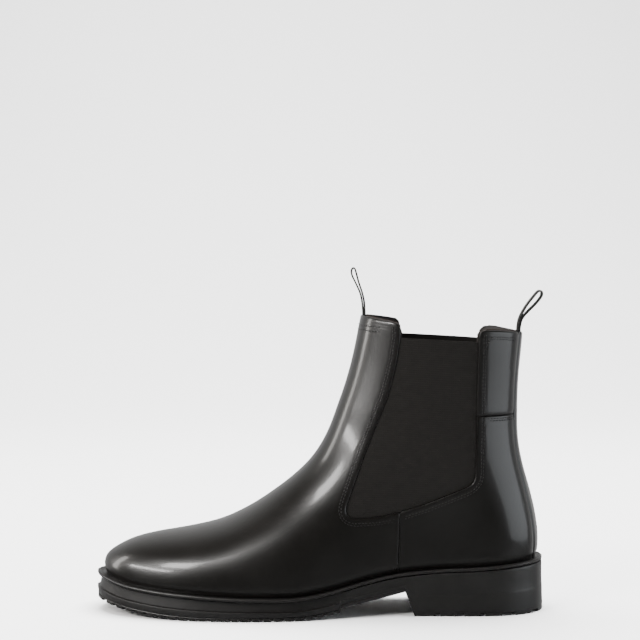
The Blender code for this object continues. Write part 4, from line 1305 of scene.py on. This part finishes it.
def make_world():
    """A dim studio: a soft glow from behind, and pale paper below, for the reflections."""
    world = bpy.data.worlds.new("studio")
    world.use_nodes = True
    tree = world.node_tree
    add = node_setter(tree)
    way = add("ShaderNodeTexCoord").outputs["Generated"]
    parts = add("ShaderNodeSeparateXYZ", {"Vector": way}).outputs
    behind = add("ShaderNodeMapRange", {"Value": parts["Y"], "From Min": 0.0, "From Max": 0.8,
                                        "To Max": 0.8}, interpolation_type="SMOOTHSTEP")
    below = add("ShaderNodeMapRange", {"Value": parts["Z"], "From Min": -0.04, "From Max": -0.3,
                                       "To Max": 0.3}, interpolation_type="SMOOTHSTEP")
    glow = add("ShaderNodeMath", {0: behind.outputs["Result"], 1: below.outputs["Result"]},
               operation="MAXIMUM").outputs["Value"]
    lifted = add("ShaderNodeMath", {0: glow, 1: 0.035}, operation="ADD").outputs["Value"]
    tree.links.new(lifted, tree.nodes["Background"].inputs["Strength"])
    tree.nodes["Background"].inputs["Color"].default_value = (1.0, 1.0, 1.0, 1.0)
    bpy.context.scene.world = world


def make_stage():
    paper = principled("paper_backdrop", (0.83, 0.83, 0.83), 0.9)[0]
    vertices, faces = [], []
    profile = [(-3.0, 0.0), (1.2, 0.0)]
    profile += [(1.2 + 1.2 * np.sin(a), 1.2 - 1.2 * np.cos(a)) for a in
                np.linspace(0.0, 0.5 * np.pi, 13)[1:]]
    profile.append((2.4, 4.0))
    for y, z in profile:
        vertices += [(-4.0, y, z), (4.0, y, z)]
    for i in range(len(profile) - 1):
        faces.append((2 * i, 2 * i + 1, 2 * i + 3, 2 * i + 2))
    backdrop = new_mesh("backdrop", vertices, faces, 3.0)
    backdrop.data.materials.append(paper)
    backdrop.visible_glossy = False

    area_light("left_strip", (-1.1, 0.17, 0.46), (0.0, 0.0, 0.15), (0.2, 0.7), 6.0,
               (1.0, 0.97, 0.93))
    area_light("left_softbox", (-0.62, -0.7, 0.8), (0.0, -0.03, 0.09), (0.3, 0.26), 10.0,
               (1.0, 0.98, 0.96))
    area_light("toe_strip", (-0.82, -0.5, 0.46), (-0.11, -0.04, 0.03), (0.6, 0.08), 8.0,
               (1.0, 0.98, 0.96))
    area_light("right_window", (1.1, -0.34, 0.22), (0.05, 0.0, 0.1), (1.0, 0.55), 5.0,
               (0.92, 0.96, 1.0))
    area_light("top_panel", (0.1, 0.5, 1.8), (0.0, 0.35, 0.0), (2.2, 1.6), 250.0,
               seen_in_gloss=False)
    make_world()

    camera = bpy.data.cameras.new("camera")
    camera.sensor_width = 36.0
    camera.lens = 108.7
    thing = bpy.data.objects.new("camera", camera)
    thing.location = (0.0, -1.3, 0.2625)
    thing.rotation_euler = (np.radians(87.0), 0.0, 0.0)
    bpy.context.scene.collection.objects.link(thing)
    bpy.context.scene.camera = thing


make_sole()
make_tabs()
dress_kept()
make_stage()
